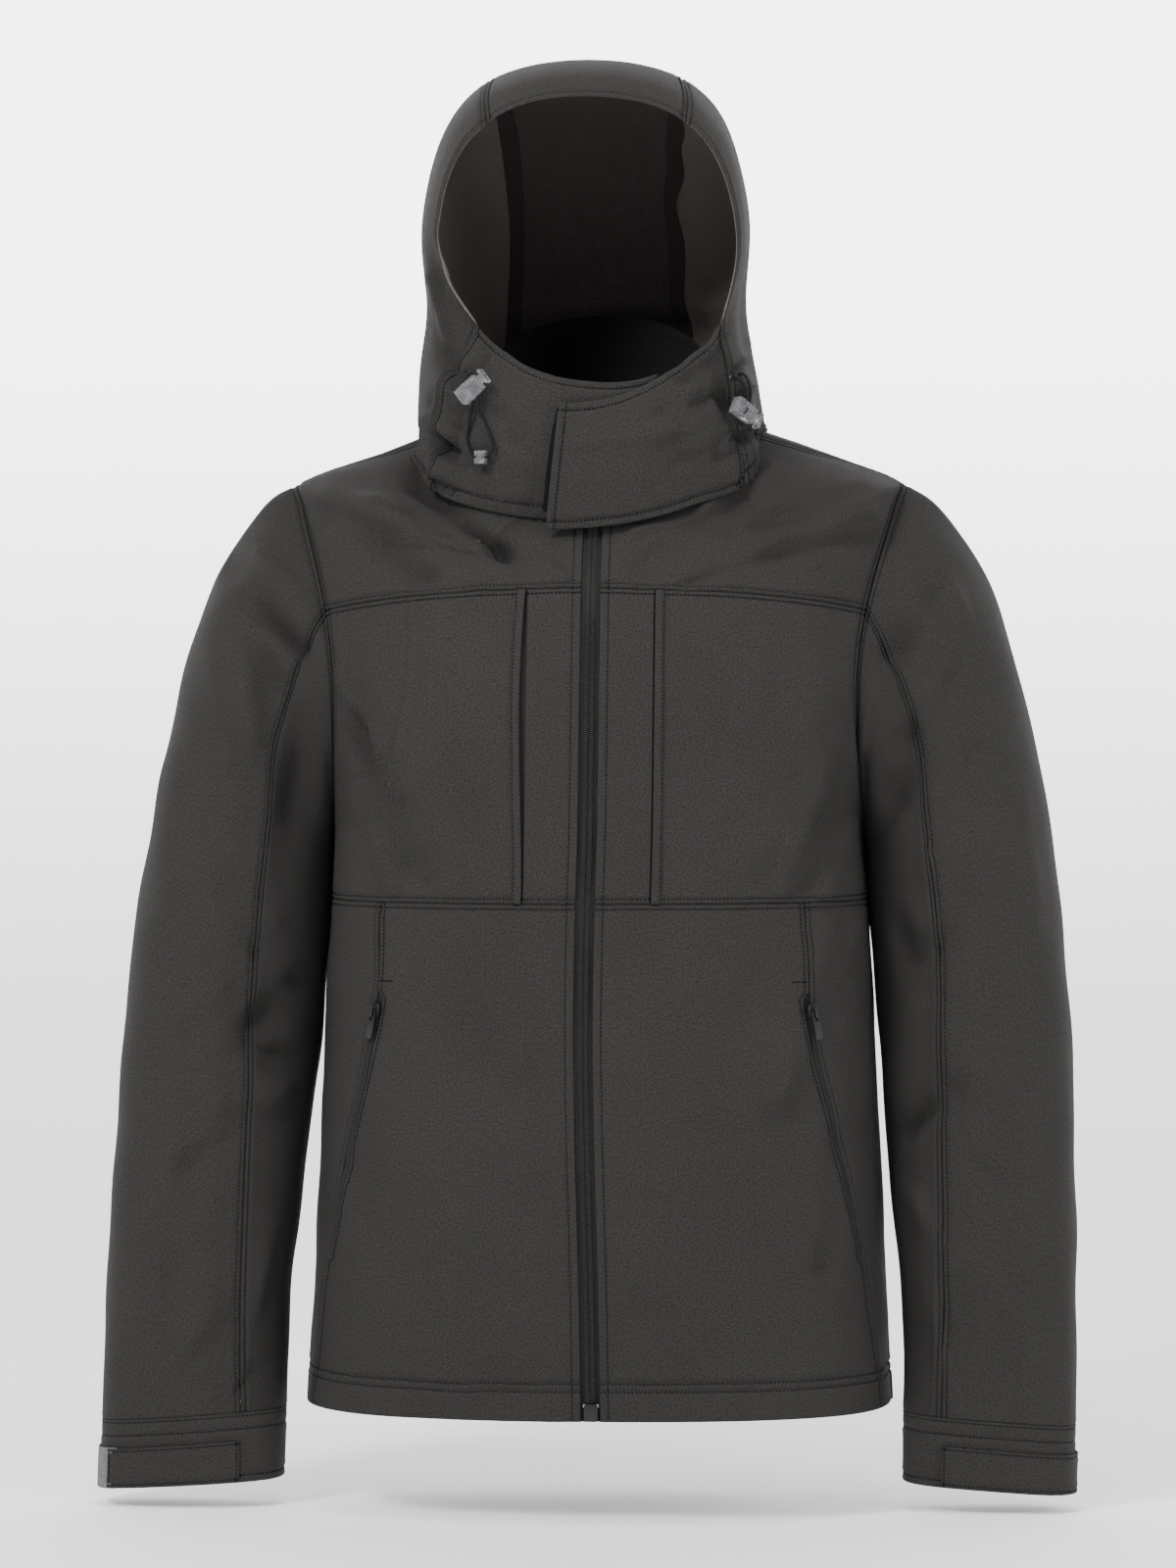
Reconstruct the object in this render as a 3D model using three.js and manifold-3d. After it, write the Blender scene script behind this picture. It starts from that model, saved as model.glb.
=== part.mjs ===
// A men's hooded softshell jacket, hollow, as it hangs on a body: hood up, front zip closed, sleeves down.
// Millimetres. X runs to the wearer's left, Y to the back and Z up, from a point between the shoulders at
// the base of the neck. The cloth is one welded net of points, cut into its pattern pieces along the seams,
// and each piece is a wall of its own. The net is the outer face of the cloth.
import * as THREE from "three";
import { mergeVertices } from "three/addons/utils/BufferGeometryUtils.js";
import Module from "manifold-3d";

// Cloth and seams
const CLOTH = 1.8;
const SEAM_GAP = 0.3;
const SHARPEST_CORNER = 0.2;
const OVERLAY_GAP = 0.35;
const OVERLAY_CLOTH = 1.4;

// Front edges and chest pockets, as distances from the centre front
const ZIP_HALF = 6.5;
const TAPE_THICK = 0.8;
const FIRST_COLUMN = 25;
const WELT_INNER = 44.5;
const WELT_OUTER = 51.5;
const WELT_INSET = 0.5;
const NECK_NARROWING = 0.48;
const POCKET_ZIP_WIDTH = 5;
const POCKET_TURN = 0.85;

// Rounds of the body, as shares of the way from hem to neck
const CHEST_SEAM_V = 0.5;
const ARMPIT_V = 0.6;
const YOKE_V = 0.779;
const TIP_V = 0.88;
const NECK_V = 1;
const COLLAR_V = 1.12;
const SIDE_ANGLE = 90;
const TIP_ANGLE = 88;
const NECK_ANGLE = 68;
const ARMHOLE_FRONT_SWING = 24;
const ARMHOLE_BACK_SWING = 20;
const ARMHOLE_ROUNDNESS = 0.7;

// Body sections: heights at front, side and back, half width, depths of front and back, and squareness
const TORSO = [
  { v: 0.0, zFront: -692, zSide: -690, zBack: -698, half: 208, front: 124, back: 118, square: 0.045 },
  { v: 0.15, zFront: -585, zSide: -585, zBack: -588, half: 203, front: 124, back: 114, square: 0.045 },
  { v: 0.33, zFront: -455, zSide: -455, zBack: -455, half: 197, front: 123, back: 109, square: 0.045 },
  { v: 0.5, zFront: -335, zSide: -333, zBack: -333, half: 191, front: 131, back: 114, square: 0.05 },
  { v: 0.6, zFront: -273, zSide: -286, zBack: -280, half: 189, front: 137, back: 121, square: 0.05 },
  { v: 0.69, zFront: -197, zSide: -210, zBack: -192, half: 191, front: 138, back: 128, square: 0.055 },
  { v: 0.779, zFront: -117, zSide: -133, zBack: -108, half: 200, front: 122, back: 126, square: 0.05 },
  { v: 0.88, zFront: -84, zSide: -37, zBack: -50, half: 214, front: 104, back: 110, square: 0.03 },
  { v: 0.94, zFront: -70, zSide: -7, zBack: 2, half: 150, front: 95, back: 87, square: 0.01 },
  { v: 1.0, zFront: -58, zSide: 18, zBack: 26, half: 80, front: 84, back: 66, square: 0 },
  { v: 1.04, zFront: -38, zSide: 38, zBack: 47, half: 77, front: 85, back: 66, square: 0 },
  { v: 1.12, zFront: 0, zSide: 76, zBack: 91, half: 76, front: 88, back: 68, square: 0 },
];

// Sleeve sections from the shoulder to the cuff's edge: outermost and innermost points of the outline, the
// middle's place front to back, half depth, squareness, and how far round the seams lie from the outer side
const SLEEVE = [
  { w: 0, outX: 214, outZ: -37, inX: 189, inZ: -286, mid: -2, deep: 62, square: 0, seam: 73.8 },
  { w: 1, outX: 237, outZ: -50, inX: 192.8, inZ: -287.3, mid: -1, deep: 66, square: 0.01, seam: 82 },
  { w: 2, outX: 257, outZ: -74, inX: 193.8, inZ: -291.5, mid: 0, deep: 69, square: 0.02, seam: 90 },
  { w: 3, outX: 276, outZ: -107, inX: 194.2, inZ: -298, mid: 1, deep: 70, square: 0.02, seam: 97 },
  { w: 4, outX: 291, outZ: -146, inX: 194.5, inZ: -307, mid: 2, deep: 69, square: 0.02, seam: 102 },
  { w: 5, outX: 304, outZ: -195, inX: 194.8, inZ: -322, mid: 3, deep: 67, square: 0.02, seam: 105 },
  { w: 6, outX: 317, outZ: -257, inX: 195.8, inZ: -352, mid: 3, deep: 64, square: 0.02, seam: 106 },
  { w: 7, outX: 328, outZ: -325, inX: 198, inZ: -400, mid: 2, deep: 61, square: 0.02, seam: 108 },
  { w: 8, outX: 335.5, outZ: -395, inX: 202.5, inZ: -452, mid: -2, deep: 58, square: 0.03, seam: 110 },
  { w: 9, outX: 340, outZ: -465, inX: 208.5, inZ: -508, mid: -7, deep: 54, square: 0.03, seam: 113 },
  { w: 10, outX: 343, outZ: -538, inX: 214.5, inZ: -565, mid: -12, deep: 49, square: 0.03, seam: 116 },
  { w: 11, outX: 345, outZ: -618, inX: 218, inZ: -628, mid: -17, deep: 43, square: 0.04, seam: 118 },
  { w: 12, outX: 346, outZ: -703, inX: 219, inZ: -694, mid: -20, deep: 37, square: 0.05, seam: 119 },
  { w: 13, outX: 346.5, outZ: -752, inX: 220, inZ: -744, mid: -21, deep: 34, square: 0.05, seam: 120 },
];
// The wearer's right sleeve swings a little out towards the hand, and the left one in
const SLEEVE_LEAN = { from: 6.5, span: 6.5, outer: 9.4, inner: 4 };
const CUFF_W = 12;
const ARMHOLE_FADE_W = 4;

// Hood arches from the face edge back to the nape: height and depth of the crown line, half width, where
// the arch stands round the neck, the share of its height that is straight, how far round the panel seam
// lies, and how far it draws in at the cheeks
const HOOD = [
  { v: 0.0, crownY: -95, crownZ: 227, half: 104, foot: 42, straight: 0.42, seam: 56, pinch: 9 },
  { v: 0.12, crownY: -72, crownZ: 246, half: 112, foot: 50, straight: 0.42, seam: 57, pinch: 9 },
  { v: 0.25, crownY: -38, crownZ: 259, half: 117, foot: 58, straight: 0.42, seam: 59, pinch: 8 },
  { v: 0.38, crownY: 0, crownZ: 264, half: 119, foot: 66, straight: 0.4, seam: 61, pinch: 6 },
  { v: 0.5, crownY: 45, crownZ: 257, half: 118, foot: 72, straight: 0.36, seam: 63, pinch: 5 },
  { v: 0.62, crownY: 86, crownZ: 231, half: 115, foot: 78, straight: 0.3, seam: 65, pinch: 4 },
  { v: 0.72, crownY: 111, crownZ: 190, half: 112, foot: 83, straight: 0.24, seam: 65, pinch: 3 },
  { v: 0.81, crownY: 120, crownZ: 141, half: 111, foot: 87, straight: 0.18, seam: 65, pinch: 1 },
  { v: 0.9, crownY: 114, crownZ: 86, half: 114, foot: 91, straight: 0.12, seam: 65, pinch: 0 },
  { v: 1.0, crownY: 88, crownZ: 22, half: 121, foot: 95, straight: 0.1, seam: 65, pinch: 0 },
];
const HOOD_SQUARE = 0.05;
const HOOD_PINCH = { centre: 0.36, width: 0.15 };
const HOOD_SHIFT = { face: -5, crown: -9, until: 0.35 };
const HOOD_NAPE_BLEND = 0.7;
// Where the hood's lower edge lies on the shoulders, round from the back over the wearer's right to the back
const HOOD_BASE = [
  { angle: -180, v: 0.948 },
  { angle: -120, v: 0.952 },
  { angle: -90, v: 0.958 },
  { angle: -70, v: 0.952 },
  { angle: -55, v: 0.94 },
  { angle: -44, v: 0.93 },
  { angle: -35, v: 0.925 },
  { angle: -22, v: 0.927 },
  { angle: 0, v: 0.937 },
  { angle: 20, v: 0.935 },
  { angle: 35, v: 0.934 },
  { angle: 49, v: 0.943 },
  { angle: 61, v: 0.957 },
  { angle: 90, v: 0.966 },
  { angle: 120, v: 0.957 },
  { angle: 180, v: 0.948 },
];
const HOOD_LIFT = 2.25;

// Chin of the hood: the top edge's height at the centre and how it climbs, its depth, and how far it reaches
const CHIN_TOP = { z: 25, rise: 52, climb: 2.6, y: -107, fall: 31, reach: 102, centre: -4 };
const CHIN_BULGE = 6;
const CHIN_RIGHT_END = 45;
const FLAP_END = -23;
const FLAP_CLOTH = 2.6;
const FLAP_LIFT = 5.2;
const FLAP_LIFT_FADE = { from: 46, to: 86 };
const FLAP_TOP_DROP = { drop: 13, from: -20, to: 85 };
const FLAP_DROP_V = { drop: 0.034, from: -45, to: 75 };
const LOOP_PATCH = { rows: [0.18, 1, 2, 2.4], columns: [3.45, 4, 5], lift: 0.4, thick: 0.8 };

// Cord locks of the hood: sizes, and each one's place, turn and height above the cloth
const LOCK = { wide: 12, deep: 8, long: 19, round: 3, button: 6, buttonWide: 8.5, buttonDeep: 5.5 };
const LOCK_RIGHT = { x: -82, z: 22, turn: -51, lift: 2.4 };
const LOCK_LEFT = { place: 0.42, v: 0.02, turn: -118, lift: 2.5 };
const CORD = { radius: 1.1, sides: 8, step: 4.5, play: 0.3 };
const BEAD = { x: -76.4, z: -25, lift: 5.9, radius: 5.5, round: 18, tall: 12 };

// The elastic loop on the wearer's right: places on the chin and heights above it
const LOOP_ROUTE = [
  { x: -80.6, z: 14.5, lift: 6.6 },
  { x: -82.9, z: 7.6, lift: 6 },
  { x: -86, z: -2, lift: 3.6 },
  { x: -87.6, z: -11, lift: 3 },
  { x: -86.2, z: -18, lift: 3.6 },
  { x: -82.4, z: -23.6, lift: 5 },
  { x: -76.4, z: -25.6, lift: 5.7 },
  { x: -70.6, z: -23.6, lift: 5 },
  { x: -68.6, z: -17.5, lift: 3.6 },
  { x: -71.4, z: -9, lift: 3 },
  { x: -75.4, z: 1, lift: 3.6 },
  { x: -77.6, z: 8.6, lift: 6 },
  { x: -76.5, z: 16.9, lift: 6.6 },
];
// The loop on the wearer's left, inside its lock: places along and across the lock
const LOCK_CHANNEL = [
  { across: -10, along: -1.9 },
  { across: -5, along: -1.7 },
  { across: 0, along: -1.7 },
  { across: 2.4, along: 0 },
  { across: 0, along: 1.7 },
  { across: -5, along: 1.7 },
  { across: -10, along: 1.9 },
];
const EYELET = { ring: 2.2, wire: 0.7, lift: 1.1, cordStart: 1, cordOut: 4.4 };
const EYELETS_LEFT = [
  { place: 0.62, v: 0.025 },
  { place: 0.6, v: 0.07 },
];
const EYELET_RIGHT = { x: -86.5, z: 34 };

// Zip sliders: body, bridge over it and pull tab hanging under the bridge
const SLIDER = { wide: 8, tall: 10, thick: 2.6, round: 2.4, lift: 1.3 };
const BRIDGE = { wide: 1.6, leg: 1.2, reach: 4.4, low: 2, rise: 2.6, bar: 1.2 };
const PULL = { wide: 5.6, thick: 1.4, round: 1.6, pin: 0.7, hole: 7.2, holeWide: 2.8, above: 3.7 };
const PULL_PIN = { long: 4.6, sides: 16 };
const POCKET_PULL_LONG = 20;
const MAIN_PULL_LONG = 24;
const MAIN_SLIDER_V = 1.09;
const POCKET_SLIDER_ROW = 7.72;
const BOX_PIECE = { wide: 9.6, tall: 12, thick: 3, round: 1.2, v: 0.009, depth: -0.3, chainStart: 0.02 };
const CHAIN = { half: 2.4, outer: -0.2, thick: 2.6 };
const TAPE = { inner: 2.7, middle: 6.5, outer: 12.5 };
const POCKET_ZIP = { outer: -0.7, coilInset: 0.2, coilLift: -0.35, coilThick: 1.3 };
const CUFF_TAB = { right: [5, 10], left: [5, 12], patch: [10, 13], inset: 0.8, thick: 1.4, patchThick: 1 };

// Folds: soft ridges (height above zero) and troughs, each along a straight line seen from its side
const FOLDS = [
  { side: "front", x0: -180, z0: -178, x1: -116, z1: -320, width: 8, height: 3 },
  { side: "front", x0: -175, z0: -252, x1: -139, z1: -322, width: 7, height: 2.5 },
  { side: "front", x0: -171, z0: -212, x1: -128, z1: -306, width: 12, height: -3 },
  { side: "front", x0: -150, z0: -184, x1: -90, z1: -312, width: 22, height: 3 },
  { side: "front", x0: 169, z0: -215, x1: 131, z1: -323, width: 8, height: 3 },
  { side: "front", x0: 182, z0: -280, x1: 160, z1: -328, width: 7, height: 2.5 },
  { side: "front", x0: 176, z0: -245, x1: 150, z1: -320, width: 11, height: -3 },
  { side: "front", x0: 158, z0: -198, x1: 111, z1: -305, width: 22, height: 2.5 },
  { side: "front", x0: -112, z0: -44, x1: -45, z1: -97, width: 14, height: -3 },
  { side: "front", x0: -140, z0: -52, x1: -62, z1: -110, width: 15, height: 2.5 },
  { side: "front", x0: -186, z0: -66, x1: -120, z1: -110, width: 14, height: -2.5 },
  { side: "front", x0: 104, z0: -49, x1: 38, z1: -97, width: 14, height: -2.5 },
  { side: "front", x0: 192, z0: -64, x1: 112, z1: -92, width: 13, height: 2.5 },
  { side: "front", x0: 178, z0: -90, x1: 66, z1: -110, width: 12, height: -2 },
  { side: "front", x0: -262, z0: -103, x1: -208, z1: -158, width: 13, height: -5 },
  { side: "front", x0: -240, z0: -88, x1: -199, z1: -130, width: 12, height: 2.5 },
  { side: "front", x0: -240, z0: -146, x1: -226, z1: -205, width: 12, height: -3 },
  { side: "front", x0: -257, z0: -128, x1: -238, z1: -216, width: 14, height: 3 },
  { side: "front", x0: -279, z0: -150, x1: -264, z1: -230, width: 15, height: 2.5 },
  { side: "front", x0: -207, z0: -208, x1: -216, z1: -292, width: 13, height: -4 },
  { side: "front", x0: -214, z0: -392, x1: -244, z1: -424, width: 14, height: -4 },
  { side: "front", x0: -218, z0: -446, x1: -246, z1: -436, width: 13, height: -3 },
  { side: "front", x0: -226, z0: -470, x1: -262, z1: -478, width: 15, height: 2 },
  { side: "front", x0: 214, z0: -162, x1: 238, z1: -122, width: 13, height: -4 },
  { side: "front", x0: 222, z0: -208, x1: 252, z1: -150, width: 15, height: 3 },
  { side: "front", x0: 214, z0: -262, x1: 222, z1: -218, width: 12, height: -3 },
  { side: "front", x0: 212, z0: -352, x1: 228, z1: -396, width: 14, height: -3 },
  { side: "front", x0: 218, z0: -496, x1: 248, z1: -466, width: 13, height: -4 },
  { side: "front", x0: 224, z0: -540, x1: 246, z1: -588, width: 15, height: 2.5 },
  { side: "front", x0: -120, z0: -360, x1: -60, z1: -455, width: 24, height: -2.5 },
  { side: "front", x0: 158, z0: -374, x1: 128, z1: -470, width: 15, height: 2.5 },
  { side: "front", x0: 92, z0: -560, x1: 150, z1: -650, width: 24, height: 2 },
  { side: "front", x0: -150, z0: -600, x1: -90, z1: -672, width: 20, height: 2 },
  { side: "back", x0: -172, z0: -250, x1: -92, z1: -352, width: 15, height: 4 },
  { side: "back", x0: 174, z0: -246, x1: 96, z1: -344, width: 15, height: 4 },
  { side: "back", x0: -150, z0: -300, x1: -70, z1: -402, width: 14, height: -3.5 },
  { side: "back", x0: 156, z0: -296, x1: 80, z1: -394, width: 14, height: -3.5 },
  { side: "back", x0: -96, z0: -440, x1: 70, z1: -432, width: 18, height: -4 },
  { side: "back", x0: -64, z0: -474, x1: 104, z1: -480, width: 17, height: 3 },
  { side: "back", x0: -120, z0: -60, x1: -60, z1: -100, width: 15, height: -2.5 },
  { side: "back", x0: 116, z0: -58, x1: 62, z1: -98, width: 15, height: -2.5 },
  { side: "back", x0: -224, z0: -160, x1: -262, z1: -110, width: 14, height: -4 },
  { side: "back", x0: 226, z0: -164, x1: 264, z1: -112, width: 14, height: -4 },
  { side: "back", x0: -226, z0: -404, x1: -300, z1: -430, width: 15, height: 4 },
  { side: "back", x0: 228, z0: -420, x1: 304, z1: -440, width: 15, height: 4 },
  { side: "back", x0: -236, z0: -446, x1: -306, z1: -462, width: 14, height: -4 },
  { side: "back", x0: 238, z0: -456, x1: 308, z1: -474, width: 14, height: -4 },
];

// The hood's own folds
const HOOD_FOLDS = [
  { side: "front", x0: -122, z0: -8, x1: -98, z1: -24, width: 7, height: -5 },
  { side: "front", x0: -126, z0: -22, x1: -104, z1: -38, width: 9, height: 2 },
  { side: "front", x0: -113, z0: 74, x1: -90, z1: 24, width: 9, height: -2.5 },
  { side: "front", x0: -104, z0: 84, x1: -80, z1: 40, width: 8, height: 1.5 },
  { side: "front", x0: 110, z0: -4, x1: 92, z1: -14, width: 7, height: -3.5 },
  { side: "front", x0: 88, z0: 36, x1: 96, z1: 4, width: 8, height: -3 },
  { side: "back", x0: -60, z0: 60, x1: 50, z1: 66, width: 14, height: -4 },
  { side: "back", x0: -44, z0: 92, x1: 66, z1: 84, width: 14, height: 3 },
];

// Rows and columns of the net
const BODY_ROWS = [0, 0.035, 0.09, 0.147, 0.205, 0.255, 0.305, 0.355, 0.408, 0.454, 0.5, 0.55, 0.6];
const POCKET_ROWS = { bottom: 3, top: 8 };
const CHEST_SEAM_ROW = 10;
const ARMPIT_ROW = 12;
const ARMHOLE_STEPS = [0, 0.12, 0.25, 0.38, 0.51, 0.64, 0.7, 0.76, 0.82, 0.88, 0.94, 1];
const YOKE_STEP = 5;
const SHOULDER_ROWS = [0.91, 0.94, 0.97, 1];
const COLLAR_ROWS = [1.04, 1.08, 1.12];
const BACK_COLUMNS = 7;
const SIDE_COLUMNS = 4;
const SLEEVE_ROWS = [0, 1, 2, 3, 4, 5, 5.5, 6, 6.5, 7, 7.5, 8, 8.5, 9, 9.5, 10, 11, 12, 12.35, 13];
const HOOD_ROWS = [0, 0.06, 0.13, 0.21, 0.3, 0.39, 0.48, 0.56, 0.64, 0.72, 0.79, 0.86, 0.93, 1];
const HOOD_COLUMNS = { straight: 3, side: 4, centre: 3 };
const CHIN_COLUMNS = 7;

// Where the pocket seam lies round the body, below the chest seam
const POCKET_SEAM = [
  { v: 0.0, angle: 71 },
  { v: 0.07, angle: 68 },
  { v: 0.13, angle: 64.5 },
  { v: 0.19, angle: 60.5 },
  { v: 0.25, angle: 56 },
  { v: 0.3, angle: 51.5 },
  { v: 0.36, angle: 46.8 },
  { v: 0.41, angle: 44.6 },
  { v: 0.5, angle: 44 },
];

const rad = THREE.MathUtils.degToRad;
const lerp = THREE.MathUtils.lerp;
const smooth = THREE.MathUtils.smoothstep;
const vec = (x, y, z) => new THREE.Vector3(x, y, z);

// Reads a table at a place between its rows, on a smooth curve through them
function between(table, key, at) {
  let i = 1;
  while (i < table.length - 1 && at > table[i][key]) i++;
  const [a, b] = [table[i - 1], table[i]];
  const before = table[Math.max(i - 2, 0)];
  const after = table[Math.min(i + 1, table.length - 1)];
  const span = b[key] - a[key];
  const t = THREE.MathUtils.clamp((at - a[key]) / span, 0, 1);
  const row = {};
  for (const name of Object.keys(a)) {
    const startSlope = ((b[name] - before[name]) / (b[key] - before[key])) * span;
    const endSlope = ((after[name] - a[name]) / (after[key] - a[key])) * span;
    row[name] =
      (2 * t ** 3 - 3 * t ** 2 + 1) * a[name] +
      (t ** 3 - 2 * t ** 2 + t) * startSlope +
      (3 * t ** 2 - 2 * t ** 3) * b[name] +
      (t ** 3 - t ** 2) * endSlope;
  }
  return row;
}

// A quarter round with slightly square shoulders: 1 along and 0 up at angle 0
const squareCos = (angle, square) => (Math.cos(angle) - square * Math.cos(3 * angle)) / (1 - square);
const squareSin = (angle, square) => (Math.sin(angle) + square * Math.sin(3 * angle)) / (1 - square);

// A point of the body, with its angle round from the centre front towards the wearer's left
function torsoPoint(angle, v) {
  const s = between(TORSO, "v", v);
  const a = rad(angle);
  const ahead = Math.cos(a) > 0;
  return vec(
    s.half * squareSin(a, s.square),
    -(ahead ? s.front : s.back) * squareCos(a, s.square),
    s.zSide + ((ahead ? s.zFront : s.zBack) - s.zSide) * Math.cos(a) ** 2,
  );
}

// The body's outward direction at a point
function torsoNormal(angle, v) {
  const [step, rise] = [0.5, 0.002];
  const round = torsoPoint(angle + step, v).sub(torsoPoint(angle - step, v));
  const up = torsoPoint(angle, v + rise).sub(torsoPoint(angle, v - rise));
  return round.cross(up).normalize();
}

// The angle at which the body is so far from its centre line
function angleAtX(v, x) {
  const s = between(TORSO, "v", v);
  let [low, high] = [0, 80];
  for (let i = 0; i < 40; i++) {
    const middle = (low + high) / 2;
    if (s.half * squareSin(rad(middle), s.square) < x) low = middle;
    else high = middle;
  }
  return (low + high) / 2;
}

// The armhole, from the armpit (0) up to the shoulder's tip (1)
function armhole(step, facing) {
  const swing = Math.sin(Math.PI * step) ** ARMHOLE_ROUNDNESS;
  const middle = lerp(SIDE_ANGLE, TIP_ANGLE, step);
  const swung = facing === "front" ? -ARMHOLE_FRONT_SWING * swing : ARMHOLE_BACK_SWING * swing;
  const angle = middle + swung;
  return { angle: step === 0 || step === 1 ? middle : angle, v: lerp(ARMPIT_V, TIP_V, step) };
}

// Every row of the body net: its height and where its front and back end
function bodyRows() {
  const rows = BODY_ROWS.map((v) => ({ v, front: SIDE_ANGLE, back: SIDE_ANGLE }));
  for (const step of ARMHOLE_STEPS.slice(1)) {
    const [front, back] = [armhole(step, "front"), armhole(step, "back")];
    rows.push({ v: front.v, front: front.angle, back: back.angle });
  }
  for (const v of [...SHOULDER_ROWS, ...COLLAR_ROWS]) {
    const seam = lerp(TIP_ANGLE, NECK_ANGLE, Math.min((v - TIP_V) / (NECK_V - TIP_V), 1));
    rows.push({ v, front: seam, back: seam });
  }
  return rows;
}

// The angles of a row's points from the zip to the row's front end
function frontAngles({ v, front }) {
  const narrow = lerp(1, NECK_NARROWING, smooth(v, YOKE_V, NECK_V));
  const zip = angleAtX(v, ZIP_HALF);
  const zipAtChest = angleAtX(CHEST_SEAM_V, ZIP_HALF);
  const pocketTop = POCKET_SEAM[POCKET_SEAM.length - 1].angle;
  const atChest = (pocketTop - zipAtChest) / (SIDE_ANGLE - zipAtChest);
  const pocket = v < CHEST_SEAM_V ? between(POCKET_SEAM, "v", v).angle : zip + (front - zip) * atChest;
  const half = between(TORSO, "v", v).half;
  const pocketInner = pocket - THREE.MathUtils.radToDeg(POCKET_ZIP_WIDTH / (half * POCKET_TURN)) * narrow;
  const welt = angleAtX(v, WELT_OUTER * narrow);
  const angles = [zip, angleAtX(v, FIRST_COLUMN * narrow), angleAtX(v, WELT_INNER * narrow), welt];
  for (const share of [1 / 3, 2 / 3, 1]) angles.push(lerp(welt, pocketInner, share));
  for (let i = 0; i <= SIDE_COLUMNS; i++) angles.push(lerp(pocket, front, i / SIDE_COLUMNS));
  return angles;
}

// How far folds push a point out, for cloth that faces the front or the back
function foldHeight(folds, point, normal) {
  let height = 0;
  for (const fold of folds) {
    const facing = fold.side === "front" ? -normal.y : normal.y;
    if (facing < 0.25) continue;
    const [dx, dz] = [fold.x1 - fold.x0, fold.z1 - fold.z0];
    const along = ((point.x - fold.x0) * dx + (point.z - fold.z0) * dz) / (dx * dx + dz * dz);
    const t = THREE.MathUtils.clamp(along, 0, 1);
    const away = Math.hypot(point.x - fold.x0 - dx * t, point.z - fold.z0 - dz * t);
    height += fold.height * Math.exp(-((away / fold.width) ** 2)) * smooth(facing, 0.25, 0.6);
  }
  return height;
}

// A sleeve point, with its angle round from the outer side towards the front
function sleeveRing(side, angle, w) {
  const s = between(SLEEVE, "w", w);
  const a = rad(angle);
  const [outward, forward] = [squareCos(a, s.square), squareSin(a, s.square)];
  const lean = (-side * Math.max(w - SLEEVE_LEAN.from, 0)) / SLEEVE_LEAN.span;
  s.outX += lean * SLEEVE_LEAN.outer;
  s.inX += lean * SLEEVE_LEAN.inner;
  return vec(
    side * ((s.outX + s.inX) / 2 + ((s.outX - s.inX) / 2) * outward),
    s.mid - s.deep * forward,
    (s.outZ + s.inZ) / 2 + ((s.outZ - s.inZ) / 2) * outward,
  );
}

// A sleeve column's angle, which slides so that column YOKE_STEP follows the sleeve seam
function sleeveAngle(step, w) {
  const start = 180 * (1 - step);
  const seamStart = 180 * (1 - ARMHOLE_STEPS[YOKE_STEP]);
  const seam = between(SLEEVE, "w", w).seam;
  if (start <= seamStart) return (start * seam) / seamStart;
  return 180 - ((180 - start) * (180 - seam)) / (180 - seamStart);
}

function sleevePoint(side, step, facing, w) {
  const turn = facing === "front" ? 1 : -1;
  const at = armhole(step, facing);
  const seam = torsoPoint(side * at.angle, at.v);
  const shift = seam.sub(sleeveRing(side, turn * sleeveAngle(step, 0), 0));
  const fade = 1 - smooth(w, 0, ARMHOLE_FADE_W);
  return sleeveRing(side, turn * sleeveAngle(step, w), w).addScaledVector(shift, fade);
}

// The hood's lower edge, which lies on the shoulders
function hoodBaseV(angle) {
  return between(HOOD_BASE, "angle", angle).v;
}

function hoodBase(angle, lift = HOOD_LIFT, drop = 0) {
  const v = hoodBaseV(angle) - drop;
  return torsoPoint(angle, v).addScaledVector(torsoNormal(angle, v), lift);
}

// A hood point: place 0 to 1 up the straight side, 1 to 2 round to the panel seam, 2 to 3 on to the crown
function hoodPoint(side, place, v) {
  const s = between(HOOD, "v", v);
  const foot = hoodBase(side * s.foot);
  const shift = lerp(HOOD_SHIFT.face, HOOD_SHIFT.crown, smooth(v, 0, HOOD_SHIFT.until));
  let [across, up] = [0, 0];
  if (place < 1) {
    const ease = smooth(place, 0, 1);
    up = s.straight * place;
    across = lerp(side * (foot.x - shift), s.half, ease);
  } else {
    const angle = rad(place < 2 ? s.seam * (place - 1) : lerp(s.seam, 90, place - 2));
    up = s.straight + (1 - s.straight) * squareSin(angle, HOOD_SQUARE);
    across = s.half * squareCos(angle, HOOD_SQUARE);
  }
  across -= s.pinch * Math.exp(-(((up - HOOD_PINCH.centre) / HOOD_PINCH.width) ** 2));
  const shaped = vec(shift + side * across, lerp(foot.y, s.crownY, up), lerp(foot.z, s.crownZ, up));
  const nape = hoodBase(side * lerp(s.foot, 180, place / 3));
  return shaped.lerp(nape, smooth(v, HOOD_NAPE_BLEND, 1) ** 2);
}

// The chin's top edge at a distance across, as its own curve gives it
function chinTop(x) {
  const reach = Math.abs(x - CHIN_TOP.centre) / CHIN_TOP.reach;
  const { y, fall, z, rise, climb } = CHIN_TOP;
  return vec(x, y + fall * reach ** 2, z + rise * reach ** climb);
}

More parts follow.
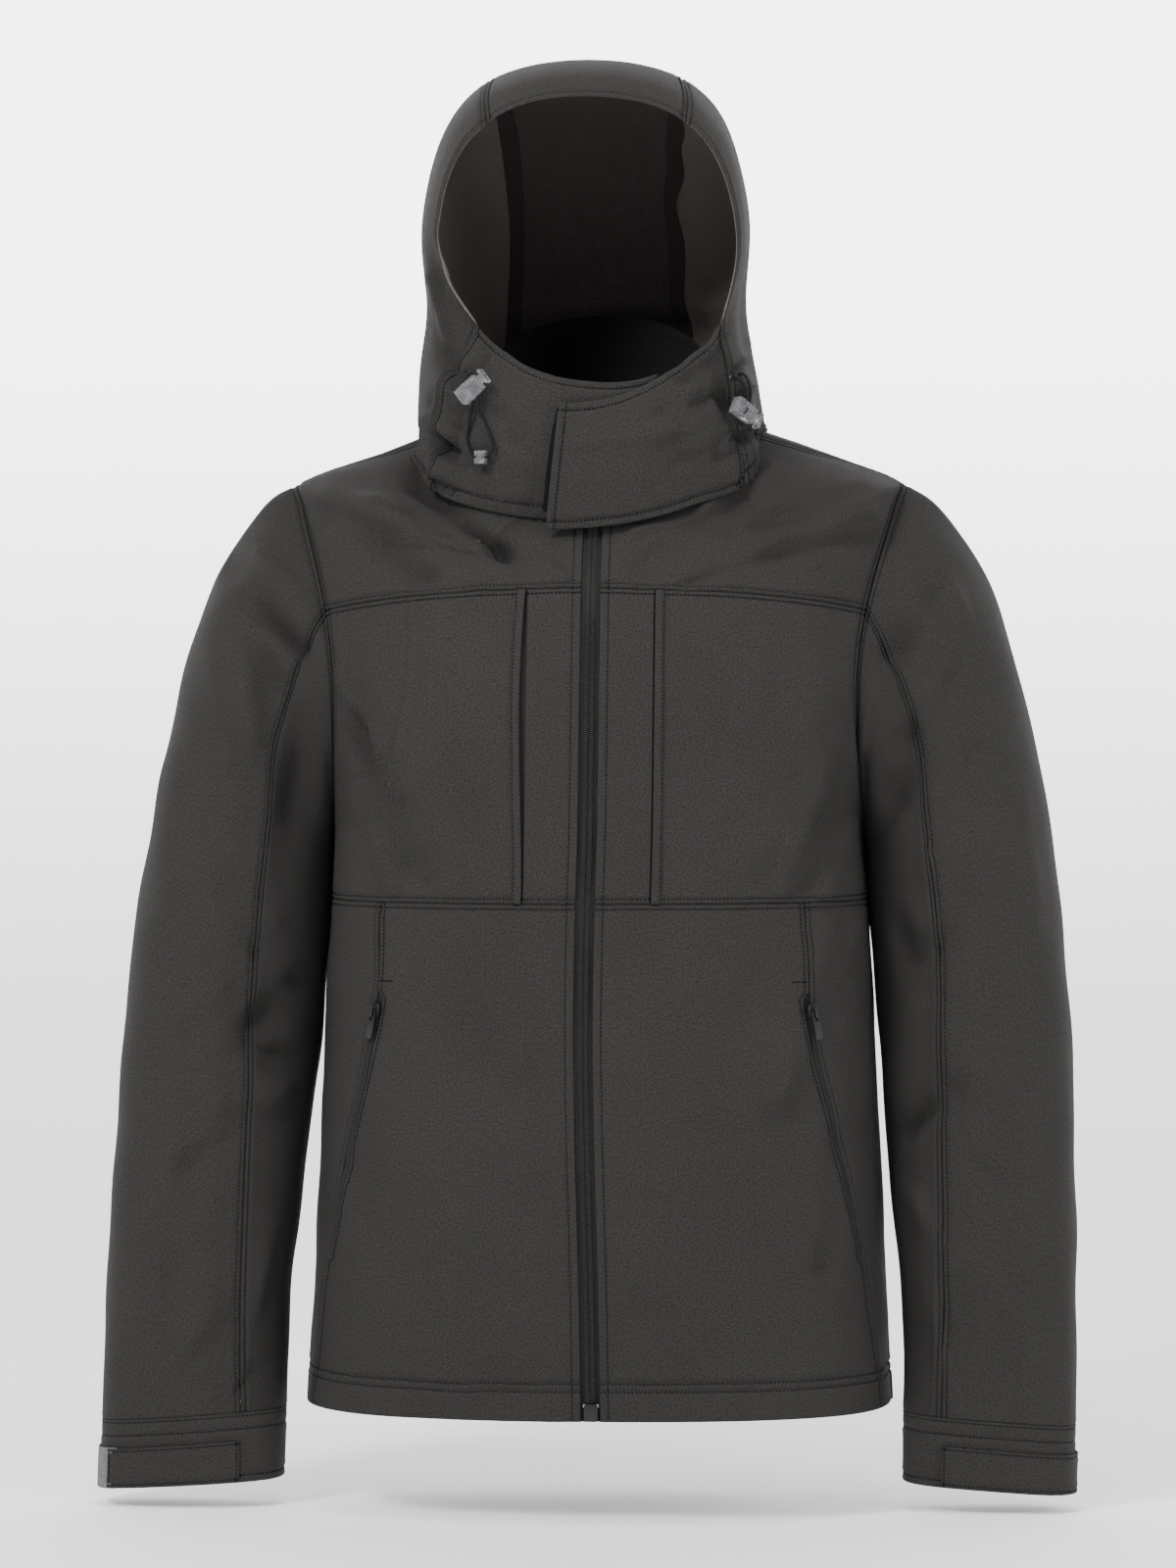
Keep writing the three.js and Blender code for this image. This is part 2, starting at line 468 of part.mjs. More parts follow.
// A point of the hood's chin: share 0 at its seam with the side to 1 at its free end, and rise 0 at the
// bottom to 1 at the top
function chinPoint(side, share, rise) {
  const end = side < 0 ? CHIN_RIGHT_END : FLAP_END;
  const seamAngle = side * HOOD[0].foot;
  const endAngle = Math.sign(end) * angleAtX(hoodBaseV(0), Math.abs(end));
  const angle = lerp(seamAngle, endAngle, share);
  const seamTop = hoodPoint(side, 1, 0);
  const x = lerp(seamTop.x, end, share);
  const over = side > 0 ? 1 - smooth(x, FLAP_LIFT_FADE.from, FLAP_LIFT_FADE.to) : 0;
  const drop = side > 0 ? FLAP_DROP_V.drop * (1 - smooth(x, FLAP_DROP_V.from, FLAP_DROP_V.to)) : 0;
  const base = hoodBase(angle, HOOD_LIFT + FLAP_LIFT * over, drop);
  const top = chinTop(x);
  if (side > 0) top.z -= FLAP_TOP_DROP.drop * (1 - smooth(x, FLAP_TOP_DROP.from, FLAP_TOP_DROP.to));
  const point = base.clone().lerp(top, rise);
  const seamLine = hoodBase(seamAngle).lerp(chinTop(seamTop.x), rise);
  point.addScaledVector(hoodPoint(side, rise, 0).sub(seamLine), (1 - share) ** 2);
  const bulge = CHIN_BULGE * Math.sin(Math.PI * rise) * Math.sin((Math.PI / 2) * share);
  point.y -= bulge + FLAP_LIFT * over * rise;
  return point;
}

// A net of cloth: welded points and four-sided cells, each cell in one named piece
class ClothNet {
  constructor() {
    this.points = [];
    this.found = new Map();
    this.cells = [];
  }

  weld(point) {
    const key = [point.x, point.y, point.z].map((n) => n.toFixed(2)).join(" ");
    if (!this.found.has(key)) this.found.set(key, this.points.push(point.clone()) - 1);
    return this.found.get(key);
  }

  // Adds rows of points. pieceOf names the piece of the cell above and to the left of point (row, column)
  addRows(rows, pieceOf, flip = false) {
    const ids = rows.map((row) => row.map((point) => this.weld(point)));
    for (let i = 0; i + 1 < ids.length; i++) {
      for (let j = 0; j + 1 < ids[i].length; j++) {
        const cell = [ids[i][j], ids[i][j + 1], ids[i + 1][j + 1], ids[i + 1][j]];
        this.cells.push({ cell: flip ? cell.reverse() : cell, piece: pieceOf(i, j) });
      }
    }
    return ids;
  }

  // Outward directions of all points, and then the folds pushed into them
  settle(folds) {
    const direct = () => {
      this.normals = this.points.map(() => vec(0, 0, 0));
      for (const { cell } of this.cells) {
        const normal = cellNormal(this.points, cell);
        for (const i of cell) this.normals[i].add(normal);
      }
      this.normals.forEach((n) => n.normalize());
    };
    direct();
    const heights = this.points.map((p, i) => foldHeight(folds, p, this.normals[i]));
    this.points.forEach((p, i) => p.addScaledVector(this.normals[i], heights[i]));
    direct();
  }

  // The closed wall of one piece, drawn back from its seams
  wall(piece, thickness) {
    const cells = this.cells.filter((c) => c.piece === piece).map((c) => c.cell);
    return wallOf(cells, this.points, this.normals, 0, -thickness, SEAM_GAP / 2);
  }
}

// The outward direction of a four-sided cell, as long as twice its area
function cellNormal(points, cell) {
  const [p, q, r, s] = cell.map((i) => points[i]);
  return r.clone().sub(p).cross(s.clone().sub(q));
}

// Builds a closed wall over four-sided cells, from one height above the points to another
function wallOf(cells, points, normals, outer, inner, inset) {
  const edges = new Map();
  for (const cell of cells) {
    cell.forEach((from, i) => {
      const to = cell[(i + 1) % 4];
      if (from === to) return;
      const back = `${to} ${from}`;
      if (edges.has(back)) edges.delete(back);
      else edges.set(`${from} ${to}`, [from, to, cell]);
    });
  }
  const pull = new Map();
  for (const [from, to, cell] of edges.values()) {
    const along = points[to].clone().sub(points[from]);
    const inward = cellNormal(points, cell).cross(along).normalize();
    for (const i of [from, to]) {
      const sum = pull.get(i);
      if (!sum) pull.set(i, inward);
      else pull.set(i, sum.clone().add(inward).divideScalar(Math.max(1 + sum.dot(inward), SHARPEST_CORNER)));
    }
  }
  const used = [...new Set(cells.flat())];
  const place = new Map(used.map((id, i) => [id, i]));
  const at = (id, height) => {
    const point = points[id].clone().addScaledVector(normals[id], height);
    return pull.has(id) ? point.addScaledVector(pull.get(id), inset) : point;
  };
  const positions = [...used.map((id) => at(id, outer)), ...used.map((id) => at(id, inner))];
  const triangles = [];
  const add = (a, b, c) => {
    if (a !== b && b !== c && a !== c) triangles.push(a, b, c);
  };
  for (const cell of cells) {
    const [a, b, c, d] = cell.map((id) => place.get(id));
    const [e, f, g, h] = [a, b, c, d].map((i) => i + used.length);
    add(a, b, c);
    add(a, c, d);
    add(e, g, f);
    add(e, h, g);
  }
  for (const [from, to] of edges.values()) {
    const [a, b] = [place.get(from), place.get(to)];
    const [c, d] = [a + used.length, b + used.length];
    // Two neighbours split a twisted edge along the same diagonal
    if (from < to) {
      add(b, a, c);
      add(b, c, d);
    } else {
      add(b, a, d);
      add(a, c, d);
    }
  }
  const geometry = new THREE.BufferGeometry();
  const numbers = positions.flatMap((p) => p.toArray());
  geometry.setAttribute("position", new THREE.Float32BufferAttribute(numbers, 3));
  geometry.setIndex(triangles);
  return geometry;
}

// A closed wall over rows of points that lie on the cloth, each with its outward direction
function overlay(rows, lift, thickness, inset = 0) {
  const points = rows.flat().map((spot) => spot.point);
  const normals = rows.flat().map((spot) => spot.normal);
  const width = rows[0].length;
  const cells = [];
  for (let i = 0; i + 1 < rows.length; i++) {
    for (let j = 0; j + 1 < width; j++) {
      const a = i * width + j;
      cells.push([a, a + 1, a + width + 1, a + width]);
    }
  }
  const facing = new THREE.Vector3();
  for (const [a, b, c] of cells) {
    facing.add(points[b].clone().sub(points[a]).cross(points[c].clone().sub(points[b])));
  }
  if (facing.dot(normals[0]) < 0) cells.forEach((cell) => cell.reverse());
  return wallOf(cells, points, normals, lift + thickness, lift, inset);
}

const net = new ClothNet();
const rows = bodyRows();
const YOKE_ROW = ARMPIT_ROW + YOKE_STEP;
const NECK_ROW = ARMPIT_ROW + ARMHOLE_STEPS.length - 1 + SHOULDER_ROWS.length;
const SIDES = [
  { side: 1, name: "left" },
  { side: -1, name: "right" },
];
const POCKET_COLUMN = 6;
const frontIds = {};

// The body's fronts, which the chest and yoke seams and the pocket seam divide
function addFront({ side, name }) {
  const points = rows.map((row) => frontAngles(row).map((angle) => torsoPoint(side * angle, row.v)));
  const pieceOf = (i, j) => {
    if (i >= NECK_ROW) return "collar";
    if (i >= YOKE_ROW) return `yoke_front_${name}`;
    if (i >= CHEST_SEAM_ROW) return `chest_${name}`;
    if (j > POCKET_COLUMN) return `side_${name}`;
    if (j === POCKET_COLUMN && i >= POCKET_ROWS.bottom && i < POCKET_ROWS.top) return `pocket_zip_${name}`;
    return `front_${name}`;
  };
  frontIds[name] = net.addRows(points, pieceOf, side < 0);
}

// The back, across from one side seam to the other
function addBack() {
  const points = rows.map((row) => {
    const line = [];
    for (let i = -BACK_COLUMNS; i <= BACK_COLUMNS; i++) {
      const turn = ((180 - row.back) * Math.abs(i)) / BACK_COLUMNS;
      line.push(torsoPoint(i < 0 ? 180 - turn : -(180 - turn), row.v));
    }
    return line;
  });
  net.addRows(points, (i) => (i >= NECK_ROW ? "collar" : i >= YOKE_ROW ? "back_yoke" : "back"));
}

// A sleeve's upper and under panel and its cuff
const cuffIds = {};
function addSleeve({ side, name }) {
  const last = ARMHOLE_STEPS.length - 1;
  const columns = [
    ...ARMHOLE_STEPS.map((step) => ({ step, facing: "front" })),
    ...ARMHOLE_STEPS.slice(0, last).reverse().map((step) => ({ step, facing: "back" })),
  ];
  const ring = (w) => columns.map(({ step, facing }) => sleevePoint(side, step, facing, w));
  const points = SLEEVE_ROWS.map(ring);
  const pieceOf = (i, j) => {
    if (SLEEVE_ROWS[i] >= CUFF_W) return `cuff_${name}`;
    const under = j < YOKE_STEP || j >= columns.length - 1 - YOKE_STEP;
    return `${under ? "sleeve_under" : "sleeve_upper"}_${name}`;
  };
  cuffIds[name] = net.addRows(points, pieceOf, side > 0).slice(-2);
}

SIDES.forEach(addFront);
addBack();
SIDES.forEach(addSleeve);
net.settle(FOLDS);

// The hood: two sides and a centre panel, and the two halves of the chin
const hood = new ClothNet();
function hoodPlaces() {
  const { straight, side, centre } = HOOD_COLUMNS;
  const places = [];
  for (let i = 0; i < straight; i++) places.push(i / straight);
  for (let i = 0; i < side; i++) places.push(1 + i / side);
  for (let i = 0; i <= centre; i++) places.push(2 + i / centre);
  return places;
}

function addHood() {
  const places = hoodPlaces();
  const line = [
    ...places.map((place) => ({ side: -1, place })),
    ...places.slice(0, -1).reverse().map((place) => ({ side: 1, place })),
  ];
  const points = HOOD_ROWS.map((v) => line.map(({ side, place }) => hoodPoint(side, place, v)));
  const seam = HOOD_COLUMNS.straight + HOOD_COLUMNS.side;
  return hood.addRows(points, (i, j) => {
    if (j < seam) return "hood_side_right";
    return j < line.length - 1 - seam ? "hood_centre" : "hood_side_left";
  });
}

const chinIds = {};
function addChin({ side, name }) {
  const piece = side > 0 ? "hood_chin_flap" : "hood_chin_right";
  const points = [];
  for (let i = 0; i <= HOOD_COLUMNS.straight; i++) {
    const line = [];
    for (let j = 0; j <= CHIN_COLUMNS; j++) {
      line.push(chinPoint(side, j / CHIN_COLUMNS, i / HOOD_COLUMNS.straight));
    }
    points.push(line);
  }
  chinIds[name] = hood.addRows(points, () => piece, side > 0);
}

const hoodIds = addHood();
SIDES.forEach(addChin);
hood.settle(HOOD_FOLDS);

const jacket = new THREE.Group();
const SHELL_FINISH = { color: 0x3f3d3b, roughness: 0.85, metalness: 0 };
const INSERT_FINISH = { color: 0x232221, roughness: 0.8, metalness: 0 };
const CLEAR_FINISH = { color: 0xc9cacc, roughness: 0.2, metalness: 0 };
const HARD_FINISH = { color: 0x1c1d1f, roughness: 0.45, metalness: 0 };
const LOOP_FINISH = { color: 0x8f8f90, roughness: 0.95, metalness: 0 };

function addMesh(name, geometry, finish, matrix) {
  const mesh = new THREE.Mesh(geometry, new THREE.MeshStandardMaterial(finish));
  mesh.name = name;
  if (matrix) mesh.applyMatrix4(matrix);
  jacket.add(mesh);
  return mesh;
}

// The cloth pieces themselves, with the pocket zips set back a little
for (const piece of new Set(net.cells.map((c) => c.piece))) {
  if (piece.startsWith("pocket_zip")) {
    const cells = net.cells.filter((c) => c.piece === piece).map((c) => c.cell);
    const tape = wallOf(cells, net.points, net.normals, POCKET_ZIP.outer, -CLOTH, SEAM_GAP / 2);
    addMesh(piece.replace("zip", "zip_tape"), tape, INSERT_FINISH);
  } else addMesh(piece, net.wall(piece, CLOTH), SHELL_FINISH);
}
for (const piece of new Set(hood.cells.map((c) => c.piece))) {
  const thickness = piece === "hood_chin_flap" ? FLAP_CLOTH : CLOTH;
  addMesh(piece, hood.wall(piece, thickness), SHELL_FINISH);
}

// A place on the body at a distance from the centre front, with its outward direction
function bodySpot(x, v) {
  const angle = Math.sign(x) * angleAtX(v, Math.abs(x));
  return { point: torsoPoint(angle, v), normal: torsoNormal(angle, v) };
}

// A place on the net between four of its points
function latticeSpot(cloth, ids, row, column) {
  const [i, j] = [Math.min(Math.floor(row), ids.length - 2), Math.min(Math.floor(column), ids[0].length - 2)];
  const [t, u] = [row - i, column - j];
  const mix = (list) => {
    const [a, b, c, d] = [ids[i][j], ids[i][j + 1], ids[i + 1][j], ids[i + 1][j + 1]].map((id) => list[id]);
    return a.clone().lerp(b, u).lerp(c.clone().lerp(d, u), t);
  };
  return { point: mix(cloth.points), normal: mix(cloth.normals).normalize() };
}

// A place on the hood's left side, at a share of the way up its straight part
function hoodSpot(place, v) {
  const above = HOOD_ROWS.findIndex((row) => row > v);
  const row = above - 1 + (v - HOOD_ROWS[above - 1]) / (HOOD_ROWS[above] - HOOD_ROWS[above - 1]);
  return latticeSpot(hood, hoodIds, row, hoodIds[0].length - 1 - place * HOOD_COLUMNS.straight);
}

// The place on the right half of the chin that stands at a distance across and a height
function chinSpot(x, z) {
  const step = 0.01;
  let [share, rise] = [0.3, 0.5];
  for (let i = 0; i < 12; i++) {
    const p = chinPoint(-1, share, rise);
    const s = chinPoint(-1, share + step, rise).sub(p).divideScalar(step);
    const r = chinPoint(-1, share, rise + step).sub(p).divideScalar(step);
    const area = s.x * r.z - s.z * r.x;
    share += ((x - p.x) * r.z - (z - p.z) * r.x) / area;
    rise += ((z - p.z) * s.x - (x - p.x) * s.z) / area;
  }
  return latticeSpot(hood, chinIds.right, rise * HOOD_COLUMNS.straight, share * CHIN_COLUMNS);
}

const idSpot = (id) => ({ point: net.points[id], normal: net.normals[id] });
const raised = ({ point, normal }, lift) => point.clone().addScaledVector(normal, lift);

// Axes at a place: Z outward, Y up the cloth and then turned anticlockwise as seen from outside
function frameAt({ point, normal }, turn, lift) {
  const across = vec(0, 0, 1).cross(normal).normalize();
  const up = normal.clone().cross(across);
  const [c, s] = [Math.cos(rad(turn)), Math.sin(rad(turn))];
  const x = across.clone().multiplyScalar(c).addScaledVector(up, s);
  const y = up.clone().multiplyScalar(c).addScaledVector(across, -s);
  return new THREE.Matrix4().makeBasis(x, y, normal).setPosition(raised({ point, normal }, lift));
}

// The front zip: tapes under the front edges, the closed chain between them and the box at the bottom
const zipRows = rows.map((row) => row.v);
for (const { side, name } of SIDES) {
  const strip = zipRows.map((v) => [TAPE.inner, TAPE.middle, TAPE.outer].map((x) => bodySpot(side * x, v)));
  const depth = -(CLOTH + OVERLAY_GAP + TAPE_THICK);
  addMesh(`zip_tape_${name}`, overlay(strip, depth, TAPE_THICK), INSERT_FINISH);
}
const chainRows = [BOX_PIECE.chainStart, ...zipRows.slice(1)];
const chainStrip = chainRows.map((v) => [-CHAIN.half, CHAIN.half].map((x) => bodySpot(x, v)));
addMesh("zip_chain", overlay(chainStrip, CHAIN.outer - CHAIN.thick, CHAIN.thick), INSERT_FINISH);

// Rounded plates in their own X and Y, from height 0 upwards
function plateShape(wide, tall, round, middle = 0) {
  const shape = new THREE.Shape();
  const [x, low, high] = [wide / 2, middle - tall / 2, middle + tall / 2];
  shape.moveTo(-x + round, low);
  shape.lineTo(x - round, low);
  shape.quadraticCurveTo(x, low, x, low + round);
  shape.lineTo(x, high - round);
  shape.quadraticCurveTo(x, high, x - round, high);
  shape.lineTo(-x + round, high);
  shape.quadraticCurveTo(-x, high, -x, high - round);
  shape.lineTo(-x, low + round);
  shape.quadraticCurveTo(-x, low, -x + round, low);
  return shape;
}
function extrude(shape, depth) {
  return new THREE.ExtrudeGeometry(shape, { depth, bevelEnabled: false, curveSegments: 3 });
}

const boxShape = plateShape(BOX_PIECE.wide, BOX_PIECE.tall, BOX_PIECE.round);
const boxFrame = frameAt(bodySpot(0.01, BOX_PIECE.v), 0, BOX_PIECE.depth - BOX_PIECE.thick / 2);
addMesh("zip_bottom_box", extrude(boxShape, BOX_PIECE.thick), HARD_FINISH, boxFrame);

const wasm = await Module();
wasm.setup();

function toSolid(geometry) {
  const bare = new THREE.BufferGeometry();
  bare.setAttribute("position", geometry.getAttribute("position"));
  if (geometry.index) bare.setIndex(geometry.index);
  const merged = mergeVertices(bare, 1e-4);
  const vertProperties = new Float32Array(merged.getAttribute("position").array);
  const triVerts = new Uint32Array(merged.index.array);
  return new wasm.Manifold(new wasm.Mesh({ numProp: 3, vertProperties, triVerts }));
}

function fromSolid(solid) {
  const { vertProperties, triVerts } = solid.getMesh();
  const geometry = new THREE.BufferGeometry();
  geometry.setAttribute("position", new THREE.BufferAttribute(new Float32Array(vertProperties), 3));
  geometry.setIndex([...triVerts]);
  return geometry;
}

function bar(x, y, z, cx, cy, cz) {
  return toSolid(new THREE.BoxGeometry(x, y, z).translate(cx, cy, cz));
}

// A slider with its bridge, and the pull tab whose top crosses under the bridge
function addSlider(name, frame, pullLong) {
  const plate = toSolid(extrude(plateShape(SLIDER.wide, SLIDER.tall, SLIDER.round), SLIDER.thick));
  const { wide, leg, reach, low, rise, bar: thick } = BRIDGE;
  const top = low + rise + thick;
  const legs = [1, -1].map((end) => bar(wide, leg, top - low, 0, end * (reach - leg / 2), (low + top) / 2));
  const over = bar(wide, 2 * reach, thick, 0, 0, top - thick / 2);
  const body = plate.add(legs[0]).add(legs[1]).add(over);
  addMesh(`${name}_slider`, fromSolid(body), HARD_FINISH, frame);
  const long = pullLong + PULL.pin;
  const flat = extrude(plateShape(PULL.wide, long, PULL.round, PULL.pin - long / 2), PULL.thick);
  const slotLong = PULL.hole + 2 * PULL.pin;
  const slot = bar(PULL.holeWide, slotLong, 2 * PULL.thick, 0, slotLong / 2 - PULL.hole, PULL.thick / 2);
  const pin = new THREE.CylinderGeometry(PULL.pin, PULL.pin, PULL_PIN.long, PULL_PIN.sides);
  pin.rotateZ(Math.PI / 2).translate(0, 0, PULL.thick / 2);
  const solid = toSolid(flat).subtract(slot).add(toSolid(pin));
  const pull = fromSolid(solid).translate(0, 0, PULL.above - PULL.thick / 2);
  addMesh(`${name}_pull`, pull, HARD_FINISH, frame);
}

// Chest pocket welts and pocket zips
for (const { name } of SIDES) {
  const ids = frontIds[name];
  const weltRows = ids.slice(CHEST_SEAM_ROW, YOKE_ROW + 1).map((row) => [idSpot(row[2]), idSpot(row[3])]);
  const welt = overlay(weltRows, OVERLAY_GAP, OVERLAY_CLOTH, WELT_INSET);
  addMesh(`chest_pocket_welt_${name}`, welt, SHELL_FINISH);
  const across = (row, share) => {
    const [a, b] = [idSpot(row[POCKET_COLUMN]), idSpot(row[POCKET_COLUMN + 1])];
    const normal = a.normal.clone().lerp(b.normal, share).normalize();
    return { point: a.point.clone().lerp(b.point, share), normal };
  };
  const { coilInset, coilLift, coilThick } = POCKET_ZIP;
  const zip = ids.slice(POCKET_ROWS.bottom, POCKET_ROWS.top + 1);
  const coilRows = zip.map((row) => [across(row, coilInset), across(row, 1 - coilInset)]);
  addMesh(`pocket_coil_${name}`, overlay(coilRows, coilLift, coilThick, WELT_INSET), INSERT_FINISH);
  const [i, t] = [Math.floor(POCKET_SLIDER_ROW), POCKET_SLIDER_ROW % 1];
  const [low, high] = [across(ids[i], 0.5), across(ids[i + 1], 0.5)];
  const spot = { point: low.point.clone().lerp(high.point, t), normal: low.normal };
  const climb = high.point.clone().sub(low.point);
  const flat = frameAt(spot, 0, SLIDER.lift);
  const level = new THREE.Vector3().setFromMatrixColumn(flat, 0);
  const up = new THREE.Vector3().setFromMatrixColumn(flat, 1);
  const turn = THREE.MathUtils.radToDeg(Math.atan2(-climb.dot(level), climb.dot(up)));
  addSlider(`pocket_${name}`, frameAt(spot, turn, SLIDER.lift), POCKET_PULL_LONG);
}
addSlider("zip", frameAt(bodySpot(0.01, MAIN_SLIDER_V), 0, CHAIN.outer + SEAM_GAP), MAIN_PULL_LONG);

// Cuff tabs, and the patch that the right one closes on
for (const { name } of SIDES) {
  const [from, to] = CUFF_TAB[name];
  const tab = cuffIds[name].map((row) => row.slice(from, to + 1).map(idSpot));
  addMesh(`cuff_tab_${name}`, overlay(tab, OVERLAY_GAP, CUFF_TAB.thick, CUFF_TAB.inset), SHELL_FINISH);
}
const patch = cuffIds.right.map((row) => row.slice(CUFF_TAB.patch[0], CUFF_TAB.patch[1] + 1).map(idSpot));
addMesh("cuff_loop_patch", overlay(patch, OVERLAY_GAP, CUFF_TAB.patchThick, CUFF_TAB.inset), LOOP_FINISH);

// The chin's dark patch that the flap closes on
const patchPlaces = LOOP_PATCH.rows.map((row) => {
  return LOOP_PATCH.columns.map((column) => latticeSpot(hood, chinIds.right, row, column));
});
addMesh("chin_loop_patch", overlay(patchPlaces, LOOP_PATCH.lift, LOOP_PATCH.thick), INSERT_FINISH);

// A round cord along a route
function cordAlong(points, radius, step = CORD.step) {
  const curve = new THREE.CatmullRomCurve3(points, false, "centripetal");
  const count = Math.ceil(curve.getLength() / step);
  const { binormals, normals } = curve.computeFrenetFrames(count);
  const positions = [];
  for (let i = 0; i <= count; i++) {
    const middle = curve.getPointAt(i / count);
    for (let j = 0; j < CORD.sides; j++) {
      const a = (2 * Math.PI * j) / CORD.sides;
      const spoke = normals[i].clone().multiplyScalar(Math.cos(a)).addScaledVector(binormals[i], Math.sin(a));
      positions.push(...middle.clone().addScaledVector(spoke, radius).toArray());
    }
  }
  const index = [];
  for (let i = 0; i < count; i++) {
    for (let j = 0; j < CORD.sides; j++) {
      const [a, b] = [i * CORD.sides + j, i * CORD.sides + ((j + 1) % CORD.sides)];
      index.push(a, b, b + CORD.sides, a, b + CORD.sides, a + CORD.sides);
    }
  }
  const last = count * CORD.sides;
  for (let j = 1; j + 1 < CORD.sides; j++) {
    index.push(0, j + 1, j);
    index.push(last, last + j, last + j + 1);
  }
  const geometry = new THREE.BufferGeometry();
  geometry.setAttribute("position", new THREE.Float32BufferAttribute(positions, 3));
  geometry.setIndex(index);
  return geometry;
}

// Cord locks: a body laid along its own Y and the button at its upper end
function lockBody() {
  const shape = plateShape(LOCK.wide, LOCK.deep, LOCK.round);
  return extrude(shape, LOCK.long).rotateX(-Math.PI / 2).translate(0, -LOCK.long / 2, LOCK.deep / 2);
}
function lockButton() {
  const shape = plateShape(LOCK.buttonWide, LOCK.buttonDeep, LOCK.round / 2);
  const start = LOCK.long / 2 + SEAM_GAP;
  return extrude(shape, LOCK.button).rotateX(-Math.PI / 2).translate(0, start, LOCK.deep / 2);
}
function addEyelet(name, spot) {
  const ring = new THREE.TorusGeometry(EYELET.ring, EYELET.wire, 6, 12);
  addMesh(name, ring, HARD_FINISH, frameAt(spot, 0, EYELET.lift));
}

const rightFrame = frameAt(chinSpot(LOCK_RIGHT.x, LOCK_RIGHT.z), LOCK_RIGHT.turn, LOCK_RIGHT.lift);
addMesh("cord_lock_right", lockBody(), CLEAR_FINISH, rightFrame);
addMesh("cord_button_right", lockButton(), CLEAR_FINISH, rightFrame);
const rightRoute = LOOP_ROUTE.map(({ x, z, lift }) => raised(chinSpot(x, z), lift));
addMesh("cord_loop_right", cordAlong(rightRoute, CORD.radius), INSERT_FINISH);
const beadMiddle = raised(chinSpot(BEAD.x, BEAD.z), BEAD.lift);
const ball = new THREE.SphereGeometry(BEAD.radius, BEAD.round, BEAD.tall).translate(...beadMiddle);
const beadSolid = toSolid(ball).subtract(toSolid(cordAlong(rightRoute, CORD.radius + CORD.play)));
addMesh("cord_bead_right", fromSolid(beadSolid), CLEAR_FINISH);
addEyelet("cord_eyelet_right", chinSpot(EYELET_RIGHT.x, EYELET_RIGHT.z));

const leftFrame = frameAt(hoodSpot(LOCK_LEFT.place, LOCK_LEFT.v), LOCK_LEFT.turn, LOCK_LEFT.lift);
const eyelets = EYELETS_LEFT.map(({ place, v }) => hoodSpot(place, v));
const inside = LOCK_CHANNEL.map(({ across, along }) => {
  return vec(across, along, LOCK.deep / 2).applyMatrix4(leftFrame);
});
const [startA, startB] = eyelets.map((spot) => {
  return [EYELET.cordStart, EYELET.cordOut].map((up) => raised(spot, up));
});
const leftRoute = [...startA, ...inside, ...startB.reverse()];
const leftBore = cordAlong(leftRoute, CORD.radius + CORD.play).applyMatrix4(leftFrame.clone().invert());
const leftLock = toSolid(lockBody()).subtract(toSolid(leftBore));
addMesh("cord_lock_left", fromSolid(leftLock), CLEAR_FINISH, leftFrame);
addMesh("cord_button_left", lockButton(), CLEAR_FINISH, leftFrame);
addMesh("cord_loop_left", cordAlong(leftRoute, CORD.radius), INSERT_FINISH);
eyelets.forEach((spot, i) => addEyelet(`cord_eyelet_left_${i + 1}`, spot));

export default jacket;
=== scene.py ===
"""A men's hooded softshell jacket: its cloth, sewing, zips and cords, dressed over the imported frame."""
import logging
import math
from dataclasses import dataclass, field
from enum import Enum
from typing import Callable, Iterable, Optional, Sequence

import bpy
import numpy as np
from mathutils import Matrix, Vector


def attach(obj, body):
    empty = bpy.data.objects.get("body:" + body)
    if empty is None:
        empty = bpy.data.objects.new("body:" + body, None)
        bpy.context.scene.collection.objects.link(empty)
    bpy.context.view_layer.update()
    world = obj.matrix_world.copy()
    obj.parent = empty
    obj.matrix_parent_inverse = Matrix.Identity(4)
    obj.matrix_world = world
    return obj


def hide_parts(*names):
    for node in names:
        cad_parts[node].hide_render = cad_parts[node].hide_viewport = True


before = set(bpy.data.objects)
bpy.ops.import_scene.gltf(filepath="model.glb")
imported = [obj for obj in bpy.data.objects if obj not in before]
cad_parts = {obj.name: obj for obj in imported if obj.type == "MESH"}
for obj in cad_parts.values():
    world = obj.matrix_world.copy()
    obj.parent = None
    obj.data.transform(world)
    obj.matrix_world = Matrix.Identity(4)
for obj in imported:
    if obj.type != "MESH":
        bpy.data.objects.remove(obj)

Array = np.ndarray
MM = 0.001
LOG = logging.getLogger("jacket")
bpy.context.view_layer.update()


def mix(a: Array, b: Array, share: Array) -> Array:
    """Goes a share of the way from a to b."""
    return a + (b - a) * share


def ease(x: Array, low: float, high: float) -> Array:
    """Climbs softly from 0 at low to 1 at high."""
    t = np.clip((np.asarray(x, float) - low) / (high - low), 0, 1)
    return t * t * (3 - 2 * t)


def bell(x: Array, middle: float, width: float) -> Array:
    """A soft bump of height 1."""
    return np.exp(-(((x - middle) / width) ** 2))


def unit(vectors: Array) -> Array:
    """Makes vectors one long."""
    return vectors / np.maximum(np.linalg.norm(vectors, axis=-1, keepdims=True), 1e-9)


def lengths_along(points: Array, axis: int) -> Array:
    """Adds up the distances between neighbours along one axis of a grid of points."""
    steps = np.linalg.norm(np.diff(points, axis=axis), axis=-1)
    pad = [(0, 0)] * steps.ndim
    pad[axis] = (1, 0)
    return np.cumsum(np.pad(steps, pad), axis=axis)


def round_cos(angle: Array, square: Array) -> Array:
    """Cosine of a round with slightly square shoulders."""
    return (np.cos(angle) - square * np.cos(3 * angle)) / (1 - square)


def round_sin(angle: Array, square: Array) -> Array:
    """Sine of a round with slightly square shoulders."""
    return (np.sin(angle) + square * np.sin(3 * angle)) / (1 - square)


